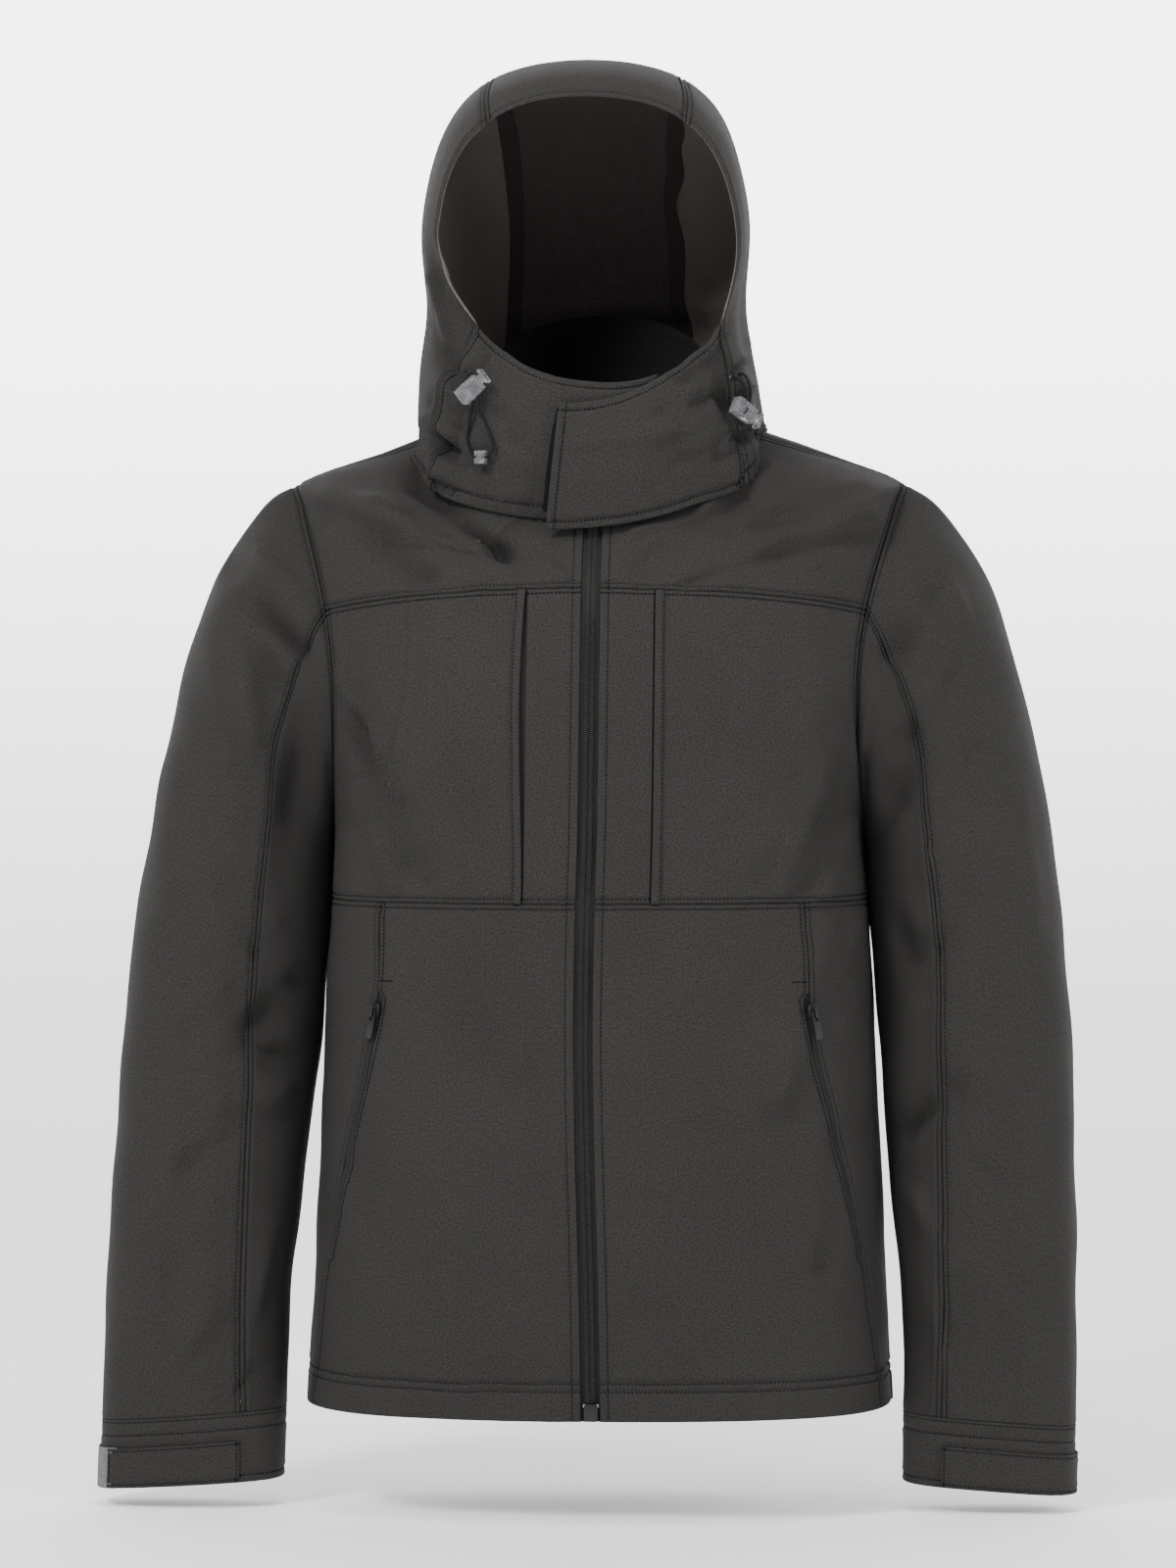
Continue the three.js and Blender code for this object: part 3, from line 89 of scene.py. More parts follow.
class Table:
    """Rows of named numbers, read on a smooth curve through them by the first column."""

    def __init__(self, names: str, rows: Sequence[Sequence[float]]) -> None:
        """Keeps the names and the rows."""
        self.names = names.split()
        self.rows = np.array(rows, float)

    def read(self, at: Array) -> dict[str, Array]:
        """Reads every column.

        Args:
            at: where to read, in the first column's numbers.

        Returns:
            One array for each name.
        """
        at = np.asarray(at, float)
        keys = self.rows[:, 0]
        last = len(keys) - 1
        i = np.clip(np.searchsorted(keys, at, side="left"), 1, last)
        before, a, b, after = np.maximum(i - 2, 0), i - 1, i, np.minimum(i + 1, last)
        span = keys[b] - keys[a]
        t = np.clip((at - keys[a]) / span, 0, 1)
        out = {}
        for name, column in zip(self.names, self.rows.T):
            start = (column[b] - column[before]) / (keys[b] - keys[before]) * span
            end = (column[after] - column[a]) / (keys[after] - keys[a]) * span
            out[name] = (
                (2 * t**3 - 3 * t**2 + 1) * column[a]
                + (t**3 - 2 * t**2 + t) * start
                + (3 * t**2 - 2 * t**3) * column[b]
                + (t**3 - t**2) * end
            )
        return out


# Forms of the cloth, in millimetres


@dataclass(frozen=True)
class BodyForm:
    """The rounds of the body from hem to collar, and the lines that its seams follow."""

    sections: Table = Table(
        "v z_front z_side z_back half front back square",
        [
            (0.0, -692, -690, -698, 208, 124, 118, 0.045),
            (0.15, -585, -585, -588, 203, 124, 114, 0.045),
            (0.33, -455, -455, -455, 197, 123, 109, 0.045),
            (0.5, -335, -333, -333, 191, 131, 114, 0.05),
            (0.6, -273, -286, -280, 189, 137, 121, 0.05),
            (0.69, -197, -210, -192, 191, 138, 128, 0.055),
            (0.779, -117, -133, -108, 200, 122, 126, 0.05),
            (0.865, -88, -50, -57, 212.5, 106, 112, 0.033),
            (0.88, -84, -37, -50, 214, 104, 110, 0.03),
            (0.94, -70, -13, 1, 150, 95, 87, 0.01),
            (1.0, -58, 18, 26, 80, 84, 66, 0),
            (1.04, -38, 38, 47, 77, 85, 66, 0),
            (1.12, 0, 47, 89, 76, 88, 68, 0),
        ],
    )
    pocket: Table = Table(
        "v angle",
        [
            (0.0, 71), (0.07, 68), (0.13, 64.5), (0.19, 60.5), (0.25, 56),
            (0.3, 51.5), (0.36, 46.8), (0.41, 44.6), (0.5, 44),
        ],
    )
    chest_v: float = 0.5
    armpit_v: float = 0.6
    yoke_v: float = 0.7792
    tip_v: float = 0.88
    neck_v: float = 1.0
    collar_v: float = 1.12
    zip_half: float = 6.5
    pocket_low: float = 0.147
    pocket_high: float = 0.408
    pocket_wide: float = 5.0
    bartack_rise: float = 0.013
    fill: float = 11.0
    fill_reach: float = 24.0
    zip_bow: float = 5.5
    zip_bow_v: tuple[float, float] = (0.36, 0.22)
    zip_bow_turn: float = 26.0
    armhole_turn: tuple[float, float] = (90.0, 88.0)
    armhole_front: float = -24.0
    armhole_back: float = 20.0
    shoulder_turn: tuple[float, float] = (88.0, 68.0)
    neck_narrow: float = 0.48
    pocket_edge: float = 0.002

    def point(self, angle: Array, v: Array) -> Array:
        """Gives points of the body.

        Args:
            angle: degrees round from the centre front towards the wearer's left.
            v: share of the way from hem to neck.

        Returns:
            The points, with X, Y and Z in the last axis.
        """
        angle, v = np.broadcast_arrays(np.asarray(angle, float), np.asarray(v, float))
        s = self.sections.read(v)
        a = np.radians(angle)
        ahead = np.cos(a) > 0
        turned = (angle + 180) % 360 - 180
        bow = self.zip_bow * bell(v, *self.zip_bow_v) * bell(turned, 0, self.zip_bow_turn)
        x = s["half"] * round_sin(a, s["square"]) - bow
        y = -np.where(ahead, s["front"], s["back"]) * round_cos(a, s["square"])
        end = np.where(ahead, s["z_front"], s["z_back"])
        wavy = s["z_side"] + (end - s["z_side"]) * np.cos(a) ** 2
        y = y + np.where(ahead, -1, 1) * self.armhole_fill(angle, v, s["half"])
        middle, tilt = (s["z_front"] + s["z_back"]) / 2, (s["z_back"] - s["z_front"]) / 2
        sloped = s["z_side"] + (middle - s["z_side"]) * np.cos(a) ** 2 - tilt * np.cos(a)
        return np.stack([x, y, mix(wavy, sloped, ease(v, 1.0, 1.09))], -1)

    def armhole_fill(self, angle: Array, v: Array, half: Array) -> Array:
        """How far the cloth stands off beside the armholes, so that body and sleeve meet flush there."""
        step = np.clip((v - self.armpit_v) / (self.tip_v - self.armpit_v), 0, 1)
        turned = np.abs((angle + 180) % 360 - 180)
        hole = self.armhole(step, turned < 90)[0]
        apart = np.radians(np.abs(turned - hole)) * half * 0.75
        return self.fill * np.sin(np.pi * step) * bell(apart, 0, self.fill_reach)

    def normal(self, angle: Array, v: Array) -> Array:
        """The outward direction at points of the body."""
        across = self.point(angle + 0.5, v) - self.point(angle - 0.5, v)
        up = self.point(angle, v + 0.002) - self.point(angle, v - 0.002)
        return unit(np.cross(across, up))

    def angle_at(self, v: Array, x: Array) -> Array:
        """The angle at which the body is x away from its centre line."""
        v, x = np.broadcast_arrays(np.asarray(v, float), np.asarray(x, float))
        s = self.sections.read(v)
        low, high = np.zeros(v.shape), np.full(v.shape, 80.0)
        for _ in range(30):
            middle = (low + high) / 2
            short = s["half"] * round_sin(np.radians(middle), s["square"]) < x
            low, high = np.where(short, middle, low), np.where(short, high, middle)
        return (low + high) / 2

    def armhole(self, step: Array, front: Array) -> tuple[Array, Array]:
        """The armhole's line.

        Args:
            step: 0 at the armpit to 1 at the shoulder's tip.
            front: whether the point is on the front.

        Returns:
            Its angles and its shares of the height.
        """
        step = np.clip(step, 0, 1)
        swing = np.maximum(np.sin(np.pi * step), 0) ** 0.7
        angle = mix(*self.armhole_turn, step) + np.where(front, self.armhole_front, self.armhole_back) * swing
        return angle, mix(self.armpit_v, self.tip_v, step)

    def side_end(self, v: Array, front: bool) -> Array:
        """The angle at which the front or the back ends."""
        step = (v - self.armpit_v) / (self.tip_v - self.armpit_v)
        shoulder = mix(*self.shoulder_turn, np.clip((v - self.tip_v) / (self.neck_v - self.tip_v), 0, 1))
        hole = self.armhole(step, np.full(np.shape(v), front))[0]
        return np.where(v <= self.armpit_v, 90.0, np.where(v <= self.tip_v, hole, shoulder))

    def narrow(self, v: Array) -> Array:
        """How the front's lines draw together towards the neck."""
        return mix(1.0, self.neck_narrow, ease(v, 0.779, self.neck_v))

    def pocket_notch(self, v: Array) -> Array:
        """How many degrees the pocket's zip takes from the front panel."""
        half = self.sections.read(v)["half"]
        edge = self.pocket_edge
        open_here = ease(v, self.pocket_low - edge, self.pocket_low + edge)
        open_here = open_here * (1 - ease(v, self.pocket_high - edge, self.pocket_high + edge))
        return np.degrees(self.pocket_wide / (half * 0.85)) * open_here


@dataclass(frozen=True)
class SleeveForm:
    """A sleeve's rings from the armhole to the cuff's edge, with its seams round from the outer side."""

    body: BodyForm
    sections: Table = Table(
        "w out_x out_z in_x in_z mid deep square seam",
        [
            (0, 214, -37, 189, -286, -2, 62, 0, 73.8),
            (1, 237, -50, 188.8, -287.3, -1, 66, 0.01, 82),
            (2, 257, -74, 188.6, -291.5, 0, 69, 0.02, 90),
            (3, 276, -107, 188.6, -298, 1, 70, 0.02, 97),
            (4, 291, -146, 188.8, -307, 2, 69, 0.02, 102),
            (5, 304, -195, 189.8, -322, 3, 67, 0.02, 105),
            (6, 317, -257, 192.4, -352, 3, 64, 0.02, 106),
            (7, 328, -325, 197.2, -400, 2, 61, 0.02, 108),
            (8, 335.5, -395, 201.2, -452, -2, 58, 0.03, 110),
            (9, 340, -465, 206.5, -508, -7, 54, 0.03, 113),
            (10, 343, -538, 212.5, -565, -12, 49, 0.03, 116),
            (11, 345, -618, 218, -628, -17, 43, 0.04, 118),
            (12, 346, -703, 219, -694, -20, 37, 0.05, 119),
            (13, 346.5, -752, 220, -744, -21, 34, 0.05, 120),
        ],
    )
    seam_step: float = 0.64
    cuff_w: float = 12.0
    end_w: float = 13.0
    tab_w: float = 12.35
    fade_w: float = 4.0
    lean_from: float = 6.5
    lean_outer: float = 9.4
    lean_inner: float = 4.0

    def ring(self, side: int, angle: Array, w: Array) -> Array:
        """Points of the plain ring, with the angle round from the outer side towards the front."""
        s = self.sections.read(w)
        a = np.radians(angle)
        outward, forward = round_cos(a, s["square"]), round_sin(a, s["square"])
        lean = -side * np.maximum(w - self.lean_from, 0) / 6.5
        out_x = s["out_x"] + lean * self.lean_outer
        in_x = s["in_x"] + lean * self.lean_inner
        return np.stack(
            [
                side * ((out_x + in_x) / 2 + (out_x - in_x) / 2 * outward),
                s["mid"] - s["deep"] * forward,
                (s["out_z"] + s["in_z"]) / 2 + (s["out_z"] - s["in_z"]) / 2 * outward,
            ],
            -1,
        )

    def angle(self, step: Array, w: Array) -> Array:
        """The angle of a line down the sleeve, which slides with the sleeve seam."""
        start = 180 * (1 - step)
        seam_start = 180 * (1 - self.seam_step)
        seam = self.sections.read(w)["seam"]
        above = start * seam / seam_start
        below = 180 - (180 - start) * (180 - seam) / (180 - seam_start)
        return np.where(start <= seam_start, above, below)

    def point(self, side: int, q: Array, w: Array) -> Array:
        """Points of a sleeve that hangs from its armhole.

        Args:
            side: 1 for the wearer's left and -1 for the right.
            q: 0 at the armpit, over the front to 1 at the shoulder's tip and 2 back at the armpit.
            w: ring, from 0 at the armhole to 13 at the cuff's edge.

        Returns:
            The points.
        """
        q, w = np.broadcast_arrays(np.asarray(q, float), np.asarray(w, float))
        front = (q >= 0) & (q <= 1)
        step = np.where(q > 1, 2 - q, np.abs(q))
        turn = np.where(front, 1, -1)
        angle, v = self.body.armhole(step, front)
        shift = self.body.point(side * angle, v) - self.ring(side, turn * self.angle(step, w * 0), w * 0)
        fade = 1 - ease(w, 0, self.fade_w)
        return self.ring(side, turn * self.angle(step, w), w) + shift * fade[..., None]


@dataclass(frozen=True)
class HoodForm:
    """The hood's arches from the face to the nape, and its chin."""

    body: BodyForm
    arches: Table = Table(
        "v crown_y crown_z half foot straight seam pinch",
        [
            (0.0, -95, 227, 109.5, 42, 0.42, 56, 9),
            (0.12, -72, 246, 114.5, 50, 0.42, 57, 9),
            (0.25, -38, 259, 117, 58, 0.42, 59, 8),
            (0.38, 0, 264, 119, 66, 0.4, 61, 6),
            (0.5, 45, 257, 118, 72, 0.36, 63, 5),
            (0.62, 86, 231, 115, 78, 0.3, 65, 4),
            (0.72, 111, 190, 112, 83, 0.24, 65, 3),
            (0.81, 120, 141, 111, 87, 0.18, 65, 1),
            (0.9, 114, 86, 114, 91, 0.12, 65, 0),
            (1.0, 88, 22, 121, 95, 0.1, 65, 0),
        ],
    )
    foot: Table = Table(
        "angle v",
        [
            (-180, 0.948), (-120, 0.952), (-90, 0.958), (-70, 0.952), (-55, 0.94), (-44, 0.93),
            (-35, 0.925), (-22, 0.927), (0, 0.937), (20, 0.935), (35, 0.934), (49, 0.943),
            (61, 0.957), (90, 0.966), (120, 0.957), (180, 0.948),
        ],
    )
    lift: float = 2.25
    right_end: float = 45.0
    flap_end: float = -23.0
    flap_lift: float = 5.2
    flap_drop: float = 0.047
    bulge: float = 6.0
    chin_turn: float = 42.0
    shift: tuple[float, float] = (-5.0, -9.0)
    pinch_at: tuple[float, float] = (0.36, 0.15)
    cheek_right: float = 24.0
    cheek_left: float = 6.0
    cheek_at: float = 0.42
    cheek_below: float = 0.08
    cheek_above: float = 0.22

    def base(self, angle: Array, lift: Optional[Array] = None, drop: Array = 0.0) -> Array:
        """Points of the lower edge, which lies on the shoulders."""
        v = self.foot.read(angle)["v"] - drop
        height = np.asarray(self.lift if lift is None else lift, float)
        return self.body.point(angle, v) + self.body.normal(angle, v) * height[..., None]

    def point(self, side: Array, place: Array, v: Array) -> Array:
        """Points of the hood.

        Args:
            side: 1 for the wearer's left and -1 for the right.
            place: 0 to 1 up the straight side, to 2 at the panel seam and to 3 at the crown.
            v: arch, from 0 at the face to 1 at the nape.

        Returns:
            The points.
        """
        side, place, v = np.broadcast_arrays(*(np.asarray(n, float) for n in (side, place, v)))
        s = self.arches.read(v)
        foot = self.base(side * s["foot"])
        shift = mix(*self.shift, ease(v, 0, 0.35))
        low = place < 1
        turn = np.where(place < 2, s["seam"] * (place - 1), mix(s["seam"], 90.0, place - 2))
        turn = np.radians(np.maximum(turn, 0))
        up = np.where(low, s["straight"] * place, s["straight"] + (1 - s["straight"]) * round_sin(turn, 0.05))
        straight = mix(side * (foot[..., 0] - shift), s["half"], ease(place, 0, 1))
        across = np.where(low, straight, s["half"] * round_cos(turn, 0.05))
        above = np.clip((self.cheek_at + self.cheek_above - up) / self.cheek_above, 0, 1) ** 1.4
        drawn = np.where(up < self.cheek_at, bell(up, self.cheek_at, self.cheek_below), above)
        cheek = np.where(side < 0, self.cheek_right, self.cheek_left) * drawn * (1 - ease(v, 0, 0.22))
        across = across - s["pinch"] * bell(up, *self.pinch_at) - cheek
        shaped = np.stack(
            [
                shift + side * across,
                mix(foot[..., 1], s["crown_y"], up),
                mix(foot[..., 2], s["crown_z"], up),
            ],
            -1,
        )
        nape = self.base(side * mix(s["foot"], 180.0, place / 3))
        return mix(shaped, nape, (ease(v, 0.7, 1) ** 2)[..., None])

    def chin_top(self, x: Array) -> Array:
        """The chin's top edge at a distance across."""
        reach = np.abs(x + 4) / 102
        return np.stack([x, -107 + 31 * reach**2, 25 + 52 * reach**2.6], -1)

    def chin(self, side: int, share: Array, rise: Array) -> Array:
        """Points of the chin.

        Args:
            side: 1 for the flap on the wearer's left and -1 for the piece under it.
            share: 0 at its seam to 1 at its free end.
            rise: 0 at its bottom edge to 1 at its top.

        Returns:
            The points.
        """
        share, rise = np.broadcast_arrays(np.asarray(share, float), np.asarray(rise, float))
        end = self.right_end if side < 0 else self.flap_end
        seam_angle = side * self.chin_turn
        foot_v = float(self.foot.read(0.0)["v"])
        end_angle = math.copysign(float(self.body.angle_at(foot_v, abs(end))), end)
        seam_top = self.point(side, 1.0, 0.0)
        x = mix(seam_top[0], end, share)
        over = 1 - ease(x, 46, 86) if side > 0 else np.zeros(x.shape)
        drop = self.flap_drop * (1 - ease(x, -45, 75)) if side > 0 else np.zeros(x.shape)
        base = self.base(mix(seam_angle, end_angle, share), self.lift + self.flap_lift * over, drop)
        top = self.chin_top(x)
        if side > 0:
            top[..., 2] -= 13 * (1 - ease(x, -20, 85))
        point = mix(base, top, rise[..., None])
        seam_low = self.base(np.full(x.shape, seam_angle))
        seam_high = self.chin_top(np.full(x.shape, seam_top[0]))
        line = mix(seam_low, seam_high, rise[..., None])
        point = point + (self.point(side, rise, 0.0) - line) * ((1 - share) ** 2)[..., None]
        swell = self.bulge * np.sin(np.pi * rise) * np.sin(np.pi / 2 * share)
        point[..., 1] -= swell + self.flap_lift * over * rise
        return point


def wander(points: Array) -> Array:
    """Broad soft unevenness of hanging cloth, from about -1 to 1."""
    total = np.zeros(points.shape[:-1])
    for x, y, z, turn in (
        (0.051, 0.023, 0.018, 0.3), (-0.034, 0.031, 0.033, 1.9), (0.021, -0.044, -0.049, 4.1),
        (0.071, 0.038, -0.029, 2.7), (-0.058, 0.049, -0.063, 5.2), (0.013, 0.066, 0.082, 0.9),
    ):
        total = total + np.sin(points[..., 0] * x + points[..., 1] * y + points[..., 2] * z + turn) / 3.2
    return total


@dataclass(frozen=True)
class Folds:
    """Soft ridges (height above zero) and troughs, each along a line seen from the front or the back."""

    front: Array
    back: Array
    turn: tuple[float, float] = (0.05, 0.4)
    strength: float = 2.05
    lean: float = 0.32
    unevenness: float = 0.9

    def height(self, points: Array, normals: Array) -> Array:
        """How far the folds push points out."""
        total = self.unevenness * wander(points)
        for rows, facing in ((self.front, -normals[..., 1]), (self.back, normals[..., 1])):
            weight = ease(facing, *self.turn)
            for x0, z0, x1, z1, width, height in rows:
                dx, dz = x1 - x0, z1 - z0
                px, pz = points[..., 0] - x0, points[..., 2] - z0
                along = (px * dx + pz * dz) / (dx * dx + dz * dz)
                t = np.clip(along, 0, 1)
                away = np.hypot(px - dx * t, pz - dz * t)
                side = np.tanh((px * dz - pz * dx) / np.hypot(dx, dz) / width * 2) * np.sign(height)
                spread = width * (1 + self.lean * side) * (0.8 + 0.3 * np.sin(3 * t + x0))
                swell = self.strength * height * (0.72 + 0.4 * np.sin(5 * t + z0))
                total += swell * weight * np.exp(-((away / spread) ** 2))
        return total


BODY_FOLDS = Folds(
    front=np.array(
        [
            # x0, z0, x1, z1, width, height: the wearer's right chest
            (-180, -174, -143, -240, 5, 2.2), (-176, -170, -143, -238, 4, 2.4),
            (-143, -238, -112, -314, 4, 2.6), (-171, -254, -137, -324, 4, 2.2),
            (-166, -212, -128, -306, 12, -4), (-150, -184, -90, -312, 22, 3),
            (-176, -196, -158, -236, 7, -1.8), (-132, -262, -112, -318, 5, -1.4),
            (-160, -280, -150, -326, 5, -1.6), (-104, -190, -74, -300, 16, -1.2),
            # the wearer's left chest
            (169, -215, 131, -323, 8, 3), (182, -280, 160, -328, 7, 2.5),
            (176, -245, 150, -320, 11, -3.2), (158, -198, 111, -305, 22, 2.5),
            (172, -238, 148, -288, 4, 1.2), (162, -262, 142, -322, 4.5, -1.2),
            (190, -190, 182, -240, 8, 2), (120, -180, 92, -270, 16, 1.1),
            # the front yokes
            (-124, -42, -62, -92, 9, -5.4), (-104, -58, -64, -90, 5, -3.6),
            (-70, -88, -26, -107, 11, -2.2), (-150, -56, -76, -114, 9, 2.6), (-62, -78, -20, -108, 7, 2),
            (-170, -62, -96, -112, 9, -2.2), (-186, -66, -120, -110, 13, -3),
            (-188, -46, -140, -66, 10, 2), (-150, -92, -110, -112, 8, -1.5),
            (104, -49, 38, -97, 13, -3.6), (192, -60, 112, -90, 7, 2.4), (178, -80, 66, -112, 7, -2.6),
            (196, -52, 96, -78, 6, -1.6), (186, -46, 120, -66, 10, -2.6), (150, -70, 104, -98, 7, 1.4),
            (128, -34, 78, -62, 8, 1.8), (84, -60, 30, -78, 9, 1.8), (196, -80, 160, -100, 6, -1.3),
            (138, -54, 92, -74, 5, -1.2),
            # the wearer's right sleeve
            (-262, -103, -208, -158, 12, -6), (-240, -88, -199, -130, 10, 3),
            (-240, -146, -226, -205, 11, -4), (-257, -128, -238, -216, 13, 3.4),
            (-268, -168, -258, -236, 12, 2.2), (-207, -208, -216, -292, 12, -5),
            (-214, -392, -244, -424, 12, -4.6), (-218, -446, -246, -436, 11, -4),
            (-226, -470, -262, -478, 13, 3), (-232, -300, -226, -350, 8, 2),
            (-262, -330, -240, -372, 8, -1.8), (-230, -560, -244, -640, 10, 2),
            (-250, -120, -222, -150, 5, -1.4), (-300, -250, -306, -340, 14, 2),
            (-268, -400, -292, -420, 10, 1.8), (-282, -520, -300, -600, 14, -1.8),
            (-258, -500, -290, -520, 9, -1.6), (-226, -240, -232, -288, 6, 1.5),
            (-262, -610, -300, -668, 12, 1.6), (-236, -660, -262, -690, 8, -1.4),
            # the wearer's left sleeve
            (214, -162, 238, -122, 12, -5.4), (222, -208, 252, -150, 12, 3.6),
            (214, -262, 222, -218, 11, -4), (212, -352, 228, -396, 13, -4),
            (218, -496, 248, -466, 12, -5), (224, -540, 246, -588, 13, 3), (232, -300, 226, -345, 8, 1.8),
            (258, -330, 240, -368, 8, -1.8), (236, -610, 246, -680, 10, 1.8),
            (300, -260, 304, -350, 14, 2), (246, -108, 262, -140, 8, 1.8),
            (258, -452, 290, -470, 10, 1.8), (262, -516, 292, -540, 10, -1.8),
            (270, -590, 300, -650, 13, 1.6), (240, -180, 262, -230, 10, -1.8),
            # the lower front
            (-120, -360, -60, -455, 24, -3), (158, -374, 128, -470, 15, 3),
            (92, -560, 150, -650, 24, 2.4), (-150, -600, -90, -672, 20, 2.4),
            (183, -350, 172, -385, 4.5, 1.6), (163, -340, 167, -362, 3.5, 1.4),
            (-150, -345, -155, -385, 5, 0.9), (153, -424, 146, -458, 5, 0.9),
            (-156, -420, -150, -470, 6, 0.8), (176, -420, 174, -440, 4.5, 0.7),
            (-60, -420, -40, -520, 16, 1.4), (56, -430, 78, -540, 16, 1.4),
            (-170, -520, -150, -600, 13, -1.6), (172, -500, 160, -590, 13, -1.6),
            (120, -360, 96, -430, 14, -1.5), (-36, -380, -50, -450, 12, 1),
            (40, -620, 80, -676, 14, -1.4), (-60, -640, -26, -690, 10, 1),
        ],
        float,
    ),
    back=np.array(
        [
            (-172, -250, -92, -352, 13, 4.5), (174, -246, 96, -344, 13, 4.5),
            (-150, -300, -70, -402, 13, -4), (156, -296, 80, -394, 13, -4), (-96, -440, 70, -432, 18, -4),
            (-64, -474, 104, -480, 17, 3), (-120, -60, -60, -100, 13, -3.5),
            (116, -58, 62, -98, 13, -3.5), (-224, -160, -262, -110, 12, -4.5),
            (226, -164, 264, -112, 12, -4.5), (-226, -404, -300, -430, 13, 4),
            (228, -420, 304, -440, 13, 4), (-236, -446, -306, -462, 13, -4.5),
            (238, -456, 308, -474, 13, -4.5),
            # finer creases between them
            (-178, -226, -128, -290, 6, 1.8), (180, -222, 134, -284, 6, 1.8),
            (-130, -330, -84, -372, 6, -1.5), (136, -322, 92, -366, 6, -1.5),
            (-70, -452, 40, -452, 7, 1.4), (-30, -500, 60, -508, 10, 1.6),
            (-240, -136, -254, -104, 6, -1.5), (242, -138, 256, -106, 6, -1.5),
            (-250, -420, -292, -440, 6, -1.6), (252, -430, 296, -450, 6, -1.6),
            (-30, -140, -60, -240, 22, 2), (40, -150, 66, -250, 22, 2), (-110, -540, -70, -640, 22, 2.4),
            (100, -560, 80, -650, 22, 2.4), (-230, -200, -250, -280, 11, 2),
            (234, -190, 250, -276, 11, 2), (-180, -60, -120, -84, 9, 1.8), (176, -62, 112, -90, 9, 1.8),
            (-236, -540, -270, -600, 12, 2), (240, -560, 276, -620, 12, 2),
        ],
        float,
    ),
)
HOOD_FOLDS = Folds(
    front=np.array(
        [
            # the deep dent and the creases round it at the wearer's right of the neck
            (-124, -8, -98, -22, 6, -6), (-126, -22, -104, -36, 8, 2.6), (-118, 4, -98, -8, 5, 2.4),
            (-112, -16, -94, -30, 3.5, -1.8), (-120, -34, -100, -48, 4, -1.6),
            (-116, 16, -96, 6, 4, -1.5), (-113, 74, -96, 30, 8, -3), (-104, 60, -84, 36, 7, 1.4),
            (-92, 22, -96, -22, 3.5, -1.3), (-86, -30, -62, -46, 4, -1.4), (-78, -36, -48, -52, 3.5, 1.2),
            (-104, 40, -84, 22, 3.5, -1.3), (-70, 8, -56, -14, 7, -1.3), (-112, 30, -92, 22, 3.5, 1.2),
            (-60, 46, -30, 30, 6, -1.1), (-116, 104, -106, 60, 5, 1.5), (-112, 124, -108, 84, 5, -1.3),
            (-108, -2, -88, -14, 3, 1.3),
            # the fan of creases at the wearer's left cord lock and the folds of the flap
            (112, -6, 90, -14, 6, -4.5), (88, 36, 96, 4, 7, -4), (104, 44, 92, 30, 3.5, -1.5),
            (108, 26, 94, 20, 3.5, 1.2), (104, 8, 92, 16, 3.5, -1.4), (104, 0, 84, -2, 3, -1.4),
            (106, -22, 88, -24, 3.5, -1.3), (106, -14, 90, -18, 3, 1.2), (82, 52, 60, 34, 6, 2),
            (86, 20, 48, 6, 6, -1.8), (74, -2, 40, -14, 6, 1.3), (80, -20, 56, -30, 4, -1.1),
            (92, 62, 78, 40, 4, -1.3), (115, 98, 112, 62, 5, 1.4), (70, 20, 58, 4, 4, 1),
            # the gathers that run down to the foot
            (-98, -40, -104, -50, 2.5, 1.1), (-110, -36, -114, -46, 2.5, 1),
            (96, -34, 100, -46, 2.5, 1.1), (84, -40, 86, -50, 2.5, 1), (-60, -48, -62, -56, 2.5, 1),
            (-48, -50, -49, -57, 2.5, 0.9),
        ],
        float,
    ),
    back=np.array(
        [
            (-60, 60, 50, 66, 12, -5), (-44, 92, 66, 84, 12, 3.6), (-80, 40, 20, 34, 8, -3),
            (30, 110, 84, 96, 8, -2), (-70, 118, -20, 124, 10, 2), (-20, 44, 60, 38, 5, 1.6),
            (-60, 78, -20, 86, 7, -1.8), (60, 60, 96, 50, 7, 1.8),
        ],
        float,
    ),
    turn=(-0.2, 0.15),
    strength=2.7,
    unevenness=0.6,
)


# Edges, panels and sewing


